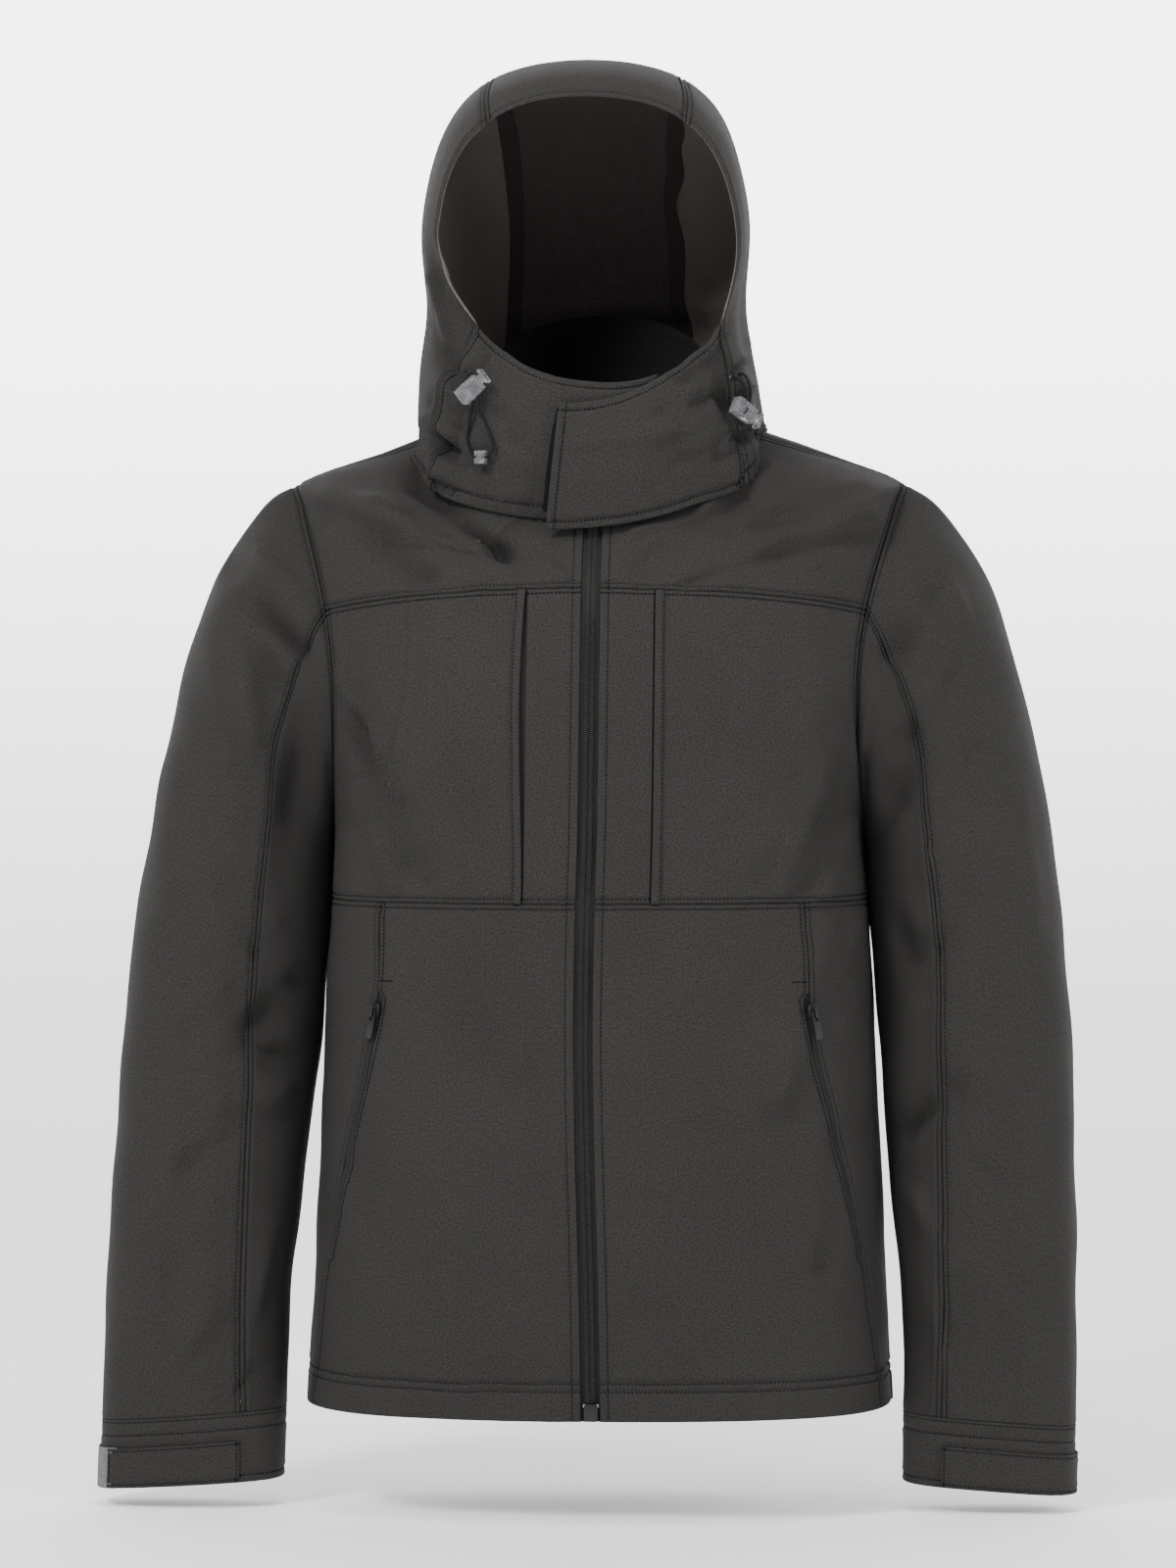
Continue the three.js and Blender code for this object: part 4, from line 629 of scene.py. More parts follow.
@dataclass(frozen=True)
class EdgeWork:
    """How the edge of a panel is finished, in millimetres from the edge inwards."""

    sink: float = 1.15
    roll: float = 1.15
    swell: float = 0.4
    swell_at: float = 2.2
    stitches: tuple[float, ...] = (3.9,)
    dent: float = 0.6
    rounding: float = 0.0
    band: float = 0.0
    band_height: float = 0.0
    gather: float = 0.0
    gather_pitch: float = 11.0
    inset: float = 0.15
    calm: float = 0.0
    swell_wide: float = 1.3
    dent_wide: float = 0.9
    puff: float = 0.22
    puff_at: float = 2.3
    puff_wide: float = 1.5
    gather_reach: float = 13.0

    def offsets(self) -> list[float]:
        """Where the net needs lines beside this edge."""
        marks = [self.inset, self.roll * 0.55, self.roll, self.roll * 1.8]
        for row in self.stitches:
            marks += [row - 0.85, row, row + 0.85]
        if self.rounding:
            marks += [self.rounding * share for share in (0.12, 0.4, 1)]
        if self.band:
            marks += [self.band - 1.3, self.band + 1.3]
        marks = sorted(m for m in marks if m >= self.inset)
        kept = [marks[0]]
        for mark in marks[1:]:
            if mark - kept[-1] > 3.6:
                count = int((mark - kept[-1]) // 4)
                kept += [mix(kept[-1], mark, (i + 1) / (count + 1)) for i in range(count)]
            if mark - kept[-1] >= 0.32:
                kept.append(mark)
        return kept + [kept[-1] + 1.6]

    def relief(self, away: Array, along: Array) -> Array:
        """The height of the cloth beside the edge."""
        height = -self.sink * bell(away, 0, self.roll)
        height = height + self.swell * bell(away, self.swell_at, self.swell_wide)
        uneven = 1 + 0.35 * np.sin(along / 3.1 + 2 * np.sin(along / 11.3)) * np.cos(along / 7.7)
        for row in self.stitches:
            height = height - 1.5 * self.dent * uneven * bell(away, row, self.dent_wide)
            height = height + self.puff * uneven * bell(away, row + self.puff_at, self.puff_wide)
        if self.band:
            height = height + self.band_height * (1 - ease(away, self.band - 1.3, self.band + 1.3))
        if self.gather:
            wave = np.sin(2 * np.pi * along / self.gather_pitch + 1.7 * np.sin(along / 23))
            height = height + self.gather * wave * np.exp(-(away / self.gather_reach))
        return height

    def thinning(self, away: Array, thickness: float) -> Array:
        """How far each face draws in to round a free edge."""
        if not self.rounding:
            return np.zeros(np.shape(away))
        share = 1 - np.clip(away / self.rounding, 0, 1)
        return thickness * 0.46 * (1 - np.sqrt(np.maximum(1 - share**2, 0)))


class Sewn(Enum):
    """The edges that the jacket has."""

    SEAM = EdgeWork()
    PLAIN = EdgeWork(stitches=(), swell=0.25)
    ARMHOLE = EdgeWork(sink=0.8, roll=0.8, swell=0.7, swell_at=2.3, stitches=(4.8,), dent=0.5, calm=18)
    FLAT = EdgeWork(sink=0.35, roll=0.7, swell=0.2, stitches=())
    ZIP_EDGE = EdgeWork(sink=0, roll=0.9, swell=0.35, swell_at=3.2, stitches=(6.3,), rounding=1.0)
    HEM = EdgeWork(
        sink=0, roll=1, swell=0, stitches=(21.0, 27.2), dent=0.6, rounding=1.2, band=21, band_height=0.8
    )
    FREE = EdgeWork(sink=0, roll=0.9, swell=0.3, swell_at=2.6, stitches=(5.2,), rounding=1.1)
    COLLAR_TOP = EdgeWork(sink=0, roll=1, swell=0.3, swell_at=3, stitches=(7.0,), rounding=1.2)
    HOOD_FOOT = EdgeWork(
        sink=0, roll=1, swell=0.6, swell_at=4, stitches=(9.5,), dent=0.9, rounding=1.2,
        gather=1.4, gather_pitch=7.5,
    )
    FLAP = EdgeWork(sink=0, roll=0.9, swell=0.55, swell_at=3.0, stitches=(6.3,), dent=0.85, rounding=1.3)
    HIDDEN = EdgeWork(sink=0, roll=0.9, swell=0, stitches=(), rounding=0.8)
    CUFF_TOP = EdgeWork(sink=0.35, roll=0.7, stitches=(2.6, 12.0), dent=0.65, swell=0.5)
    CUFF_END = EdgeWork(sink=0, roll=1, swell=0.4, swell_at=3, stitches=(5.5,), rounding=1.1)
    TAB = EdgeWork(
        sink=0, roll=0.8, swell=0.25, swell_at=1.6, stitches=(3.2,), dent=0.4, rounding=0.7, inset=0.8
    )
    FOLD = EdgeWork(sink=0, roll=0.8, swell=0.35, swell_at=1.2, stitches=(), rounding=0.9)
    WELT_SEWN = EdgeWork(sink=1.0, roll=0.7, swell=0, stitches=(1.3,), dent=0.4)
    TAPE = EdgeWork(sink=0, roll=0.6, swell=0, stitches=(), rounding=0.3)


@dataclass
class Line:
    """A line on the cloth with its outward directions."""

    points: Array
    normals: Array

    def cut(self, start: float, end: float) -> "Line":
        """Keeps the line between two shares of its length."""
        long = lengths_along(self.points, 0)
        marks = np.linspace(start, end, max(int(len(long) * abs(end - start)), 2) * 2) * long[-1]
        return self.at(marks)

    def at(self, marks: Array) -> "Line":
        """Reads the line at distances from its start."""
        long = lengths_along(self.points, 0)
        points = np.stack([np.interp(marks, long, column) for column in self.points.T], -1)
        normals = np.stack([np.interp(marks, long, column) for column in self.normals.T], -1)
        return Line(points, unit(normals))

    def raised(self, height: Array) -> "Line":
        """Moves the line out of the cloth."""
        return Line(self.points + self.normals * height, self.normals)


def grid_normals(points: Array, flip: bool, closed: bool) -> Array:
    """Outward directions of a grid of points."""
    if closed:
        around = np.concatenate([points[-2:-1], points, points[1:2]])
        across = np.gradient(around, axis=0)[1:-1]
    else:
        across = np.gradient(points, axis=0)
    normals = unit(np.cross(across, np.gradient(points, axis=1)))
    return -normals if flip else normals


def build_object(
    name: str,
    points: Array,
    faces: Sequence[Array],
    uv: Optional[Array] = None,
    values: Optional[dict[str, Array]] = None,
    slots: Optional[Array] = None,
) -> bpy.types.Object:
    """Makes an object of points in millimetres.

    Args:
        name: the object's name.
        points: its points.
        faces: arrays of faces, each with one number of corners.
        uv: the cloth's own flat coordinates of each point, in millimetres.
        values: numbers of each point that the materials read.
        slots: the material slot of each face.

    Returns:
        The object, smooth all over.
    """
    faces = [np.asarray(f, np.int64) for f in faces if len(f)]
    loops = np.concatenate([f.reshape(-1) for f in faces])
    sizes = np.concatenate([np.full(len(f), f.shape[1]) for f in faces])
    mesh = bpy.data.meshes.new(name)
    mesh.vertices.add(len(points))
    mesh.vertices.foreach_set("co", (points * MM).astype(np.float32).reshape(-1))
    mesh.loops.add(len(loops))
    mesh.loops.foreach_set("vertex_index", loops.astype(np.int32))
    mesh.polygons.add(len(sizes))
    mesh.polygons.foreach_set("loop_start", (np.cumsum(sizes) - sizes).astype(np.int32))
    if uv is not None:
        layer = mesh.uv_layers.new(name="cloth")
        layer.data.foreach_set("uv", (uv[loops] * MM).astype(np.float32).reshape(-1))
    mesh.update(calc_edges=True)
    for key, numbers in (values or {}).items():
        attribute = mesh.attributes.new(key, "FLOAT", "POINT")
        attribute.data.foreach_set("value", numbers.astype(np.float32).reshape(-1))
    if slots is not None:
        mesh.polygons.foreach_set("material_index", slots.astype(np.int32))
    mesh.validate()
    mesh.shade_smooth()
    made = bpy.data.objects.new(name, mesh)
    bpy.context.scene.collection.objects.link(made)
    return made


@dataclass
class Panel:
    """One cut piece of cloth, laid as a fine net over its form and given its wall, folds and seam relief."""

    name: str
    spot: Callable[[Array, Array], Array]
    first: EdgeWork
    last: EdgeWork
    bottom: EdgeWork
    top: EdgeWork
    flip: bool = False
    closed: bool = False
    folds: Folds = BODY_FOLDS
    step: float = 4.6
    stitch_reach: float = 4.5
    hollow: float = 0.6
    thickness: float = 1.8
    lift: float = 0.0
    bottom_after: Optional[tuple[float, EdgeWork]] = None
    shape: Optional[Callable[[Array, Array, Array], Array]] = None
    outer: Array = field(init=False)
    inner: Array = field(init=False)
    normals: Array = field(init=False)
    shares: tuple[Array, Array] = field(init=False)
    flat: tuple[Array, Array] = field(init=False)
    near: Array = field(init=False)

    def __post_init__(self) -> None:
        """Lays the net."""
        self._spread()
        self._raise()

    def _marks(self, long: Array, low: EdgeWork, high: EdgeWork, extra: Optional[EdgeWork] = None) -> Array:
        """Distances of the net's lines along lines of the given lengths."""
        starts = low.offsets()
        if extra:
            merged = sorted(starts + extra.offsets())
            starts = [m for i, m in enumerate(merged) if i == 0 or m - merged[i - 1] > 0.3]
        ends = high.offsets()[::-1]
        if self.closed and low is self.first:
            starts, ends = [0.0], [0.0]
        count = max(int(round((np.median(long) - starts[-1] - ends[0]) / self.step)) - 1, 1)
        fit = np.minimum(1, 0.92 * long / max(starts[-1] + ends[0], 0.1))
        near = np.array(starts)[:, None] * fit
        far = long - np.array(ends)[:, None] * fit
        share = (np.arange(count)[:, None] + 1) / (count + 1)
        return np.concatenate([near, mix(near[-1:], far[:1], share), far])

    def _spread(self) -> None:
        """Finds the shares of the net's points, so that its lines keep their distances from the edges."""
        share = np.linspace(0, 1, 61)
        coarse = self.spot(*np.meshgrid(share, share, indexing="ij"))
        across, up = lengths_along(coarse, 0), lengths_along(coarse, 1)
        extra = self.bottom_after[1] if self.bottom_after else None
        marks = self._marks(across[-1], self.first, self.last)
        wide = np.stack([np.interp(marks[:, j], across[:, j], share) for j in range(len(share))], 1)
        marks = self._marks(up[:, -1], self.bottom, self.top, extra)
        tall = np.stack([np.interp(marks[:, i], up[i], share) for i in range(len(share))], 0)
        t = np.broadcast_to(tall.mean(0), (len(wide), tall.shape[1])).copy()
        for _ in range(2):
            s = np.stack([np.interp(t[i], share, wide[i]) for i in range(len(wide))], 0)
            t = np.stack([np.interp(s[:, j], share, tall[:, j]) for j in range(t.shape[1])], 1)
        self.shares = (s, t)

    def _raise(self) -> None:
        """Pushes the net out by the folds and the sewing, and gives it its inner face."""
        s, t = self.shares
        points = self.spot(s, t)
        normals = grid_normals(points, self.flip, self.closed)
        raised = self.folds.height(points, normals) * self._held(points) + self.lift
        points = points + normals * raised[..., None]
        normals = grid_normals(points, self.flip, self.closed)
        across, up = lengths_along(points, 0), lengths_along(points, 1)
        height = np.zeros(s.shape)
        thin = np.zeros(s.shape)
        near = np.zeros(s.shape)
        sides = [(self.bottom, up, across, 1.0), (self.top, up[:, -1:] - up, across, 1.0)]
        if self.bottom_after:
            after = ease(s, self.bottom_after[0] - 0.008, self.bottom_after[0] + 0.008)
            sides[0] = (self.bottom, up, across, 1 - after)
            sides.append((self.bottom_after[1], up, across, after))
        if not self.closed:
            sides += [(self.first, across, up, 1.0), (self.last, across[-1:] - across, up, 1.0)]
        for work, away, along, weight in sides:
            height = height + weight * work.relief(away + work.inset, along)
            thin = np.maximum(thin, weight * work.thinning(away, self.thickness))
            rows = work.stitches or (0.0,)
            for row in rows:
                near = np.maximum(near, weight * bell(away, row, self.stitch_reach))
        if self.shape:
            height = height + self.shape(s, t, points)
        self.outer = points + normals * (height - thin)[..., None]
        under = np.minimum(height, 0) * self.hollow - self.thickness + thin
        self.inner = points + normals * under[..., None]
        self.normals = grid_normals(self.outer, self.flip, self.closed)
        self.flat = (across, up)
        self.near = near

    def _held(self, points: Array) -> Array:
        """How much of the folds is left beside stiff seams, which keeps both sides of a seam together."""
        across, up = lengths_along(points, 0), lengths_along(points, 1)
        left = np.ones(across.shape)
        for work, away in ((self.first, across), (self.last, across[-1:] - across),
                           (self.bottom, up), (self.top, up[:, -1:] - up)):
            if work.calm:
                left = left * ease(away, 0, work.calm)
        return left

    def line(self, edge: str, away: float, start: float = 0.0, end: float = 1.0) -> Line:
        """A line on the outer face at a distance from an edge.

        Args:
            edge: first, last, bottom or top.
            away: the distance from it.
            start: the share of the edge where the line begins.
            end: the share where it ends.

        Returns:
            The line.
        """
        outer, normals = self.outer, self.normals
        if edge in ("first", "last"):
            outer, normals = outer.swapaxes(0, 1), normals.swapaxes(0, 1)
        if edge in ("last", "top"):
            outer, normals = outer[:, ::-1], normals[:, ::-1]
        long = lengths_along(outer, 1)
        points, facing = [], []
        for row, out, n in zip(long, outer, normals):
            points.append([np.interp(away, row, out[:, k]) for k in range(3)])
            facing.append([np.interp(away, row, n[:, k]) for k in range(3)])
        line = Line(np.array(points), unit(np.array(facing)))
        return line if (start, end) == (0.0, 1.0) else line.cut(start, end)

    def sew(self, sewing: "Sewing", group: str) -> None:
        """Adds the stitch rows of every edge to a group."""
        works = {"first": self.first, "last": self.last, "bottom": self.bottom, "top": self.top}
        if self.closed:
            works = {"bottom": self.bottom, "top": self.top}
        for edge, work in works.items():
            for row in work.stitches:
                start, end = 0.0, 1.0
                if edge == "bottom" and self.bottom_after:
                    long = lengths_along(self.outer[:, 0], 0)
                    end = float(np.interp(self.bottom_after[0], self.shares[0][:, 0], long / long[-1]))
                sewing.add(group, self.line(edge, row - work.inset, start, end))
        if self.bottom_after:
            for row in self.bottom_after[1].stitches:
                sewing.add(group, self.line("bottom", row, end, 1.0))

    def trace(self, places: Sequence[tuple[float, float]], count: int = 40) -> Line:
        """A line through places given as shares of the net's own columns and rows."""
        places = np.array(places, float)
        long = lengths_along(places, 0)
        marks = np.linspace(0, long[-1], count)
        i = np.interp(marks, long, places[:, 0]) * (self.outer.shape[0] - 1)
        j = np.interp(marks, long, places[:, 1]) * (self.outer.shape[1] - 1)
        i0 = np.clip(i.astype(int), 0, self.outer.shape[0] - 2)
        j0 = np.clip(j.astype(int), 0, self.outer.shape[1] - 2)
        t, u = (i - i0)[:, None], (j - j0)[:, None]
        grid = [mix(mix(g[i0, j0], g[i0 + 1, j0], t), mix(g[i0, j0 + 1], g[i0 + 1, j0 + 1], t), u)
                for g in (self.outer, self.normals)]
        return Line(grid[0], unit(grid[1]))

    def mesh(self) -> dict[str, Array]:
        """The panel's closed wall as points, faces, flat coordinates and material slots."""
        n, m = self.outer.shape[:2]
        index = np.arange(n * m).reshape(n, m)
        if self.closed:
            index[-1] = index[0]
        quads = np.stack([index[:-1, :-1], index[1:, :-1], index[1:, 1:], index[:-1, 1:]], -1).reshape(-1, 4)
        rims = [(index[:-1, 0], index[1:, 0]), (index[1:, -1], index[:-1, -1])]
        if not self.closed:
            rims += [(index[-1, :-1], index[-1, 1:]), (index[0, 1:], index[0, :-1])]
        under = n * m
        walls = np.concatenate([np.stack([b, a, a + under, b + under], -1) for a, b in rims])
        if self.flip:
            quads, walls = quads[:, ::-1], walls[:, ::-1]
        faces = np.concatenate([quads, quads[:, ::-1] + under, walls])
        slots = np.concatenate([np.zeros(len(quads)), np.ones(len(quads)), np.zeros(len(walls))])
        flat = np.stack(self.flat, -1).reshape(-1, 2)
        near = self.near.reshape(-1)
        return {
            "points": np.concatenate([self.outer.reshape(-1, 3), self.inner.reshape(-1, 3)]),
            "faces": faces,
            "uv": np.concatenate([flat, flat]),
            "near": np.concatenate([near, near * 0.4]),
            "slots": slots,
        }


def join_panels(name: str, panels: Sequence[Panel]) -> bpy.types.Object:
    """Makes one object of one or more panels, with unused points of closed ones left out."""
    parts = [panel.mesh() for panel in panels]
    starts = np.cumsum([0] + [len(p["points"]) for p in parts])
    faces = np.concatenate([p["faces"] + start for p, start in zip(parts, starts)])
    points, uv, near = (np.concatenate([p[key] for p in parts]) for key in ("points", "uv", "near"))
    used, faces = np.unique(faces, return_inverse=True)
    faces = faces.reshape(-1, 4)
    slots = np.concatenate([p["slots"] for p in parts])
    return build_object(name, points[used], [faces], uv[used], {"near": near[used]}, slots)


@dataclass
class Sewing:
    """Rows of stitches, gathered in groups that become one mesh each."""

    pitch: float = 2.75
    size: tuple[float, float, float] = (2.0, 1.0, 0.6)
    lift: float = 0.12
    rows: dict[str, list[tuple[Line, float]]] = field(default_factory=dict)

    def add(self, group: str, line: Line, pitch: Optional[float] = None) -> None:
        """Adds a row to a group."""
        self.rows.setdefault(group, []).append((line, pitch or self.pitch))

    def build(self) -> list[bpy.types.Object]:
        """Makes the groups' meshes."""
        stamp = Stamp(sides=4, rings=((-0.5, 0.9), (0.5, 0.9)), sunk=0.8)
        made = []
        for group, rows in self.rows.items():
            places, frames = [], []
            for line, pitch in rows:
                long = lengths_along(line.points, 0)[-1]
                count = max(int(long / pitch), 1)
                centres, axes = frames_along(line, (np.arange(count) + 0.5) * long / count)
                places.append(centres + axes[2] * self.lift)
                frames.append(axes)
            axes = [np.concatenate([f[k] for f in frames]) for k in range(3)]
            made.append(stamp.copies(group, np.concatenate(places), axes, self.size))
        return made


# Finishes


def srgb(red: float, green: float, blue: float) -> tuple[float, float, float, float]:
    """A colour of a picture, 0 to 255, as the shader takes it."""
    parts = (red / 255, green / 255, blue / 255)
    linear = [c / 12.92 if c <= 0.04045 else ((c + 0.055) / 1.055) ** 2.4 for c in parts]
    return (*linear, 1.0)


class Tree:
    """Short ways to fill a node tree."""

    def __init__(self, tree: bpy.types.NodeTree) -> None:
        """Keeps the tree."""
        self.tree = tree

    def add(self, kind: str, inputs: Optional[dict] = None, **settings: object) -> bpy.types.Node:
        """Adds a node.

        Args:
            kind: the node's type.
            inputs: numbers, colours or sockets for its inputs, by name or place.
            settings: its own settings.

        Returns:
            The node.
        """
        node = self.tree.nodes.new(kind)
        for key, value in settings.items():
            setattr(node, key, value)
        for key, value in (inputs or {}).items():
            if isinstance(value, bpy.types.NodeSocket):
                self.tree.links.new(value, node.inputs[key])
            else:
                node.inputs[key].default_value = value
        return node

    def math(self, operation: str, *values: object) -> bpy.types.NodeSocket:
        """The result of a math node."""
        return self.add("ShaderNodeMath", dict(enumerate(values)), operation=operation).outputs[0]

    def noise(self, vector: bpy.types.NodeSocket, scale: float, detail: float = 2.0) -> bpy.types.NodeSocket:
        """The value of a noise texture."""
        node = self.add("ShaderNodeTexNoise", {"Vector": vector, "Scale": scale, "Detail": detail})
        return node.outputs["Fac"]


def new_group(
    name: str, inputs: dict[str, object], outputs: dict[str, str]
) -> tuple[bpy.types.NodeTree, Tree]:
    """Starts a shader node group with named inputs and outputs.

    Args:
        name: the group's name.
        inputs: each input's start value, or "vector" for a vector.
        outputs: each output's kind, float or color.

    Returns:
        The group and its tree of nodes.
    """
    group = bpy.data.node_groups.new(name, "ShaderNodeTree")
    kinds = {"float": "NodeSocketFloat", "color": "NodeSocketColor", "vector": "NodeSocketVector"}
    for key, value in inputs.items():
        kind = "vector" if value == "vector" else "float" if isinstance(value, float) else "color"
        socket = group.interface.new_socket(key, in_out="INPUT", socket_type=kinds[kind])
        if kind != "vector":
            socket.default_value = value
    for key, kind in outputs.items():
        group.interface.new_socket(key, in_out="OUTPUT", socket_type=kinds[kind])
    return group, Tree(group)


def weave_group() -> bpy.types.NodeTree:
    """Plain weave and its grain: the height in millimetres and a shade round 1."""
    group, tree = new_group(
        "cloth_weave",
        {"Vector": "vector", "Thread": 0.0005, "Depth": 0.08, "Grain": 0.2},
        {"Height": "float", "Shade": "float"},
    )
    given = tree.add("NodeGroupInput").outputs
    parts = tree.add("ShaderNodeSeparateXYZ", {0: given["Vector"]}).outputs
    turns = tree.math("DIVIDE", 6.2832, given["Thread"])
    across = tree.math("SINE", tree.math("MULTIPLY", parts[0], turns))
    down = tree.math("SINE", tree.math("MULTIPLY", parts[1], turns))
    threads = tree.math("MULTIPLY", tree.math("MULTIPLY", across, down), given["Depth"])
    fine = tree.noise(given["Vector"], 1300.0, 1.0)
    coarse = tree.noise(given["Vector"], 620.0, 2.0)
    speckle = tree.math("ADD", tree.math("MULTIPLY", fine, 0.6), tree.math("MULTIPLY", coarse, 0.4))
    speckle = tree.math("SUBTRACT", speckle, 0.5)
    shade = tree.math("MULTIPLY_ADD", speckle, tree.math("MULTIPLY", given["Grain"], 4.0), 1.0)
    height = tree.math("MULTIPLY_ADD", speckle, tree.math("MULTIPLY", given["Depth"], 1.5), threads)
    tree.add("NodeGroupOutput", {"Height": height, "Shade": shade})
    return group


def mottle_group() -> bpy.types.NodeTree:
    """Broad uneven tone, as dyed cloth and handled plastic have."""
    group, tree = new_group("mottle", {"Vector": "vector", "Size": 0.1, "Amount": 0.1}, {"Shade": "float"})
    given = tree.add("NodeGroupInput").outputs
    scale = tree.math("DIVIDE", 1.0, given["Size"])
    node = tree.add("ShaderNodeTexNoise", {"Vector": given["Vector"], "Scale": scale, "Detail": 3.0})
    centred = tree.math("SUBTRACT", node.outputs["Fac"], 0.5)
    shade = tree.math("MULTIPLY_ADD", centred, tree.math("MULTIPLY", given["Amount"], 2.0), 1.0)
    tree.add("NodeGroupOutput", {"Shade": shade})
    return group


@dataclass
class Groups:
    """The shared effects, built once."""

    weave: bpy.types.NodeTree = field(default_factory=weave_group)
    mottle: bpy.types.NodeTree = field(default_factory=mottle_group)


class Pattern(Enum):
    """What a finish's fine surface is."""

    WOVEN = "woven"
    FLEECE = "fleece"
    RIBBED = "ribbed"
    BRAID = "braid"
    TWISTED = "twisted"
    LOOPS = "loops"
    MOULDED = "moulded"


@dataclass(frozen=True)
class Finish:
    """One finish of the jacket: its colour, how rough it is and its fine surface."""

    name: str
    colour: tuple[float, float, float]
    rough: float
    pattern: Pattern
    grain: float = 0.2
    thread: float = 0.0005
    depth: float = 0.08
    metal: float = 0.0
    coat: float = 0.0
    sheen: float = 0.0
    clear: float = 0.0
    puckers: float = 0.0
    gloss: float = 0.5

    def material(self, groups: Groups) -> bpy.types.Material:
        """Builds the finish's material."""
        material = bpy.data.materials.new(self.name)
        material.use_nodes = True
        tree = Tree(material.node_tree)
        shader = material.node_tree.nodes["Principled BSDF"]
        place = tree.add("ShaderNodeTexCoord").outputs
        on_cloth = self.pattern in (Pattern.WOVEN, Pattern.FLEECE, Pattern.BRAID, Pattern.TWISTED)
        vector = place["UV"] if on_cloth else place["Object"]
        height, shade = self._surface(tree, groups, vector)
        mottle = tree.add("ShaderNodeGroup", node_tree=groups.mottle)
        tree.tree.links.new(place["Object"], mottle.inputs["Vector"])
        mottle.inputs["Size"].default_value = 0.09 if on_cloth else 0.006
        mottle.inputs["Amount"].default_value = 0.1
        both = tree.math("MULTIPLY", shade, mottle.outputs["Shade"])
        colour = srgb(*self.colour)
        dark = tuple(c * 0.55 for c in colour[:3]) + (1.0,)
        light = tuple(min(c * 1.45, 1.0) for c in colour[:3]) + (1.0,)
        fac = tree.add("ShaderNodeMapRange", {"Value": both, "From Min": 0.55, "From Max": 1.45})
        blend = tree.add("ShaderNodeMix", {0: fac.outputs[0], 6: dark, 7: light}, data_type="RGBA")
        tree.tree.links.new(blend.outputs[2], shader.inputs["Base Color"])
        if self.puckers:
            near = tree.add("ShaderNodeAttribute", attribute_name="near").outputs["Fac"]
            strength = tree.math("MULTIPLY", near, self.puckers)
            pucker = tree.math("MULTIPLY", tree.noise(place["UV"], 150.0, 1.0), strength)
            height = tree.math("ADD", height, pucker)
        bump = tree.add("ShaderNodeBump", {"Height": height, "Distance": 0.001, "Strength": 1.0})
        tree.tree.links.new(bump.outputs[0], shader.inputs["Normal"])
        rough = tree.add("ShaderNodeMapRange", {"Value": both, "From Min": 0.6, "From Max": 1.4,
                                                "To Min": self.rough + 0.06, "To Max": self.rough - 0.06})
        tree.tree.links.new(rough.outputs[0], shader.inputs["Roughness"])
        shader.inputs["Metallic"].default_value = self.metal
        shader.inputs["Specular IOR Level"].default_value = self.gloss
        shader.inputs["Coat Weight"].default_value = self.coat
        shader.inputs["Coat Roughness"].default_value = 0.25
        shader.inputs["Sheen Weight"].default_value = self.sheen
        shader.inputs["Sheen Roughness"].default_value = 0.45
        shader.inputs["Transmission Weight"].default_value = self.clear
        return material

    def _surface(self, tree: Tree, groups: Groups, vector: bpy.types.NodeSocket) -> tuple:
        """The fine height in millimetres and the shade round 1."""
        if self.pattern in (Pattern.WOVEN, Pattern.FLEECE):
            weave = tree.add("ShaderNodeGroup", node_tree=groups.weave)
            tree.tree.links.new(vector, weave.inputs["Vector"])
            for key, value in (("Thread", self.thread), ("Depth", self.depth), ("Grain", self.grain)):
                weave.inputs[key].default_value = value
            return weave.outputs["Height"], weave.outputs["Shade"]
        parts = tree.add("ShaderNodeSeparateXYZ", {0: vector}).outputs
        turns = 6.2832 / self.thread
        scale = {Pattern.LOOPS: 900.0, Pattern.MOULDED: 260.0}.get(self.pattern, 500.0)
        noise = tree.noise(vector, scale, 2.0)
        centred = tree.math("SUBTRACT", noise, 0.5)
        shade = tree.math("MULTIPLY_ADD", centred, self.grain * 4, 1.0)
        if self.pattern is Pattern.RIBBED:
            rib = tree.math("SINE", tree.math("MULTIPLY", parts[0], turns))
            cross = tree.math("SINE", tree.math("MULTIPLY", parts[2], turns * 0.7))
            lines = tree.math("MULTIPLY_ADD", cross, 0.35, rib)
        elif self.pattern is Pattern.BRAID:
            one = tree.math("SINE", tree.math("MULTIPLY", tree.math("ADD", parts[0], parts[1]), turns))
            two = tree.math("SINE", tree.math("MULTIPLY", tree.math("SUBTRACT", parts[0], parts[1]), turns))
            lines = tree.math("MULTIPLY", one, two)
        elif self.pattern is Pattern.TWISTED:
            slant = tree.math("MULTIPLY_ADD", parts[1], 0.0006, parts[0])
            lines = tree.math("SINE", tree.math("MULTIPLY", slant, turns))
        else:
            return tree.math("MULTIPLY", centred, self.depth * 2), shade
        shade = tree.math("MULTIPLY_ADD", lines, self.grain * 0.5, shade)
        return tree.math("MULTIPLY_ADD", lines, self.depth, tree.math("MULTIPLY", centred, self.depth)), shade


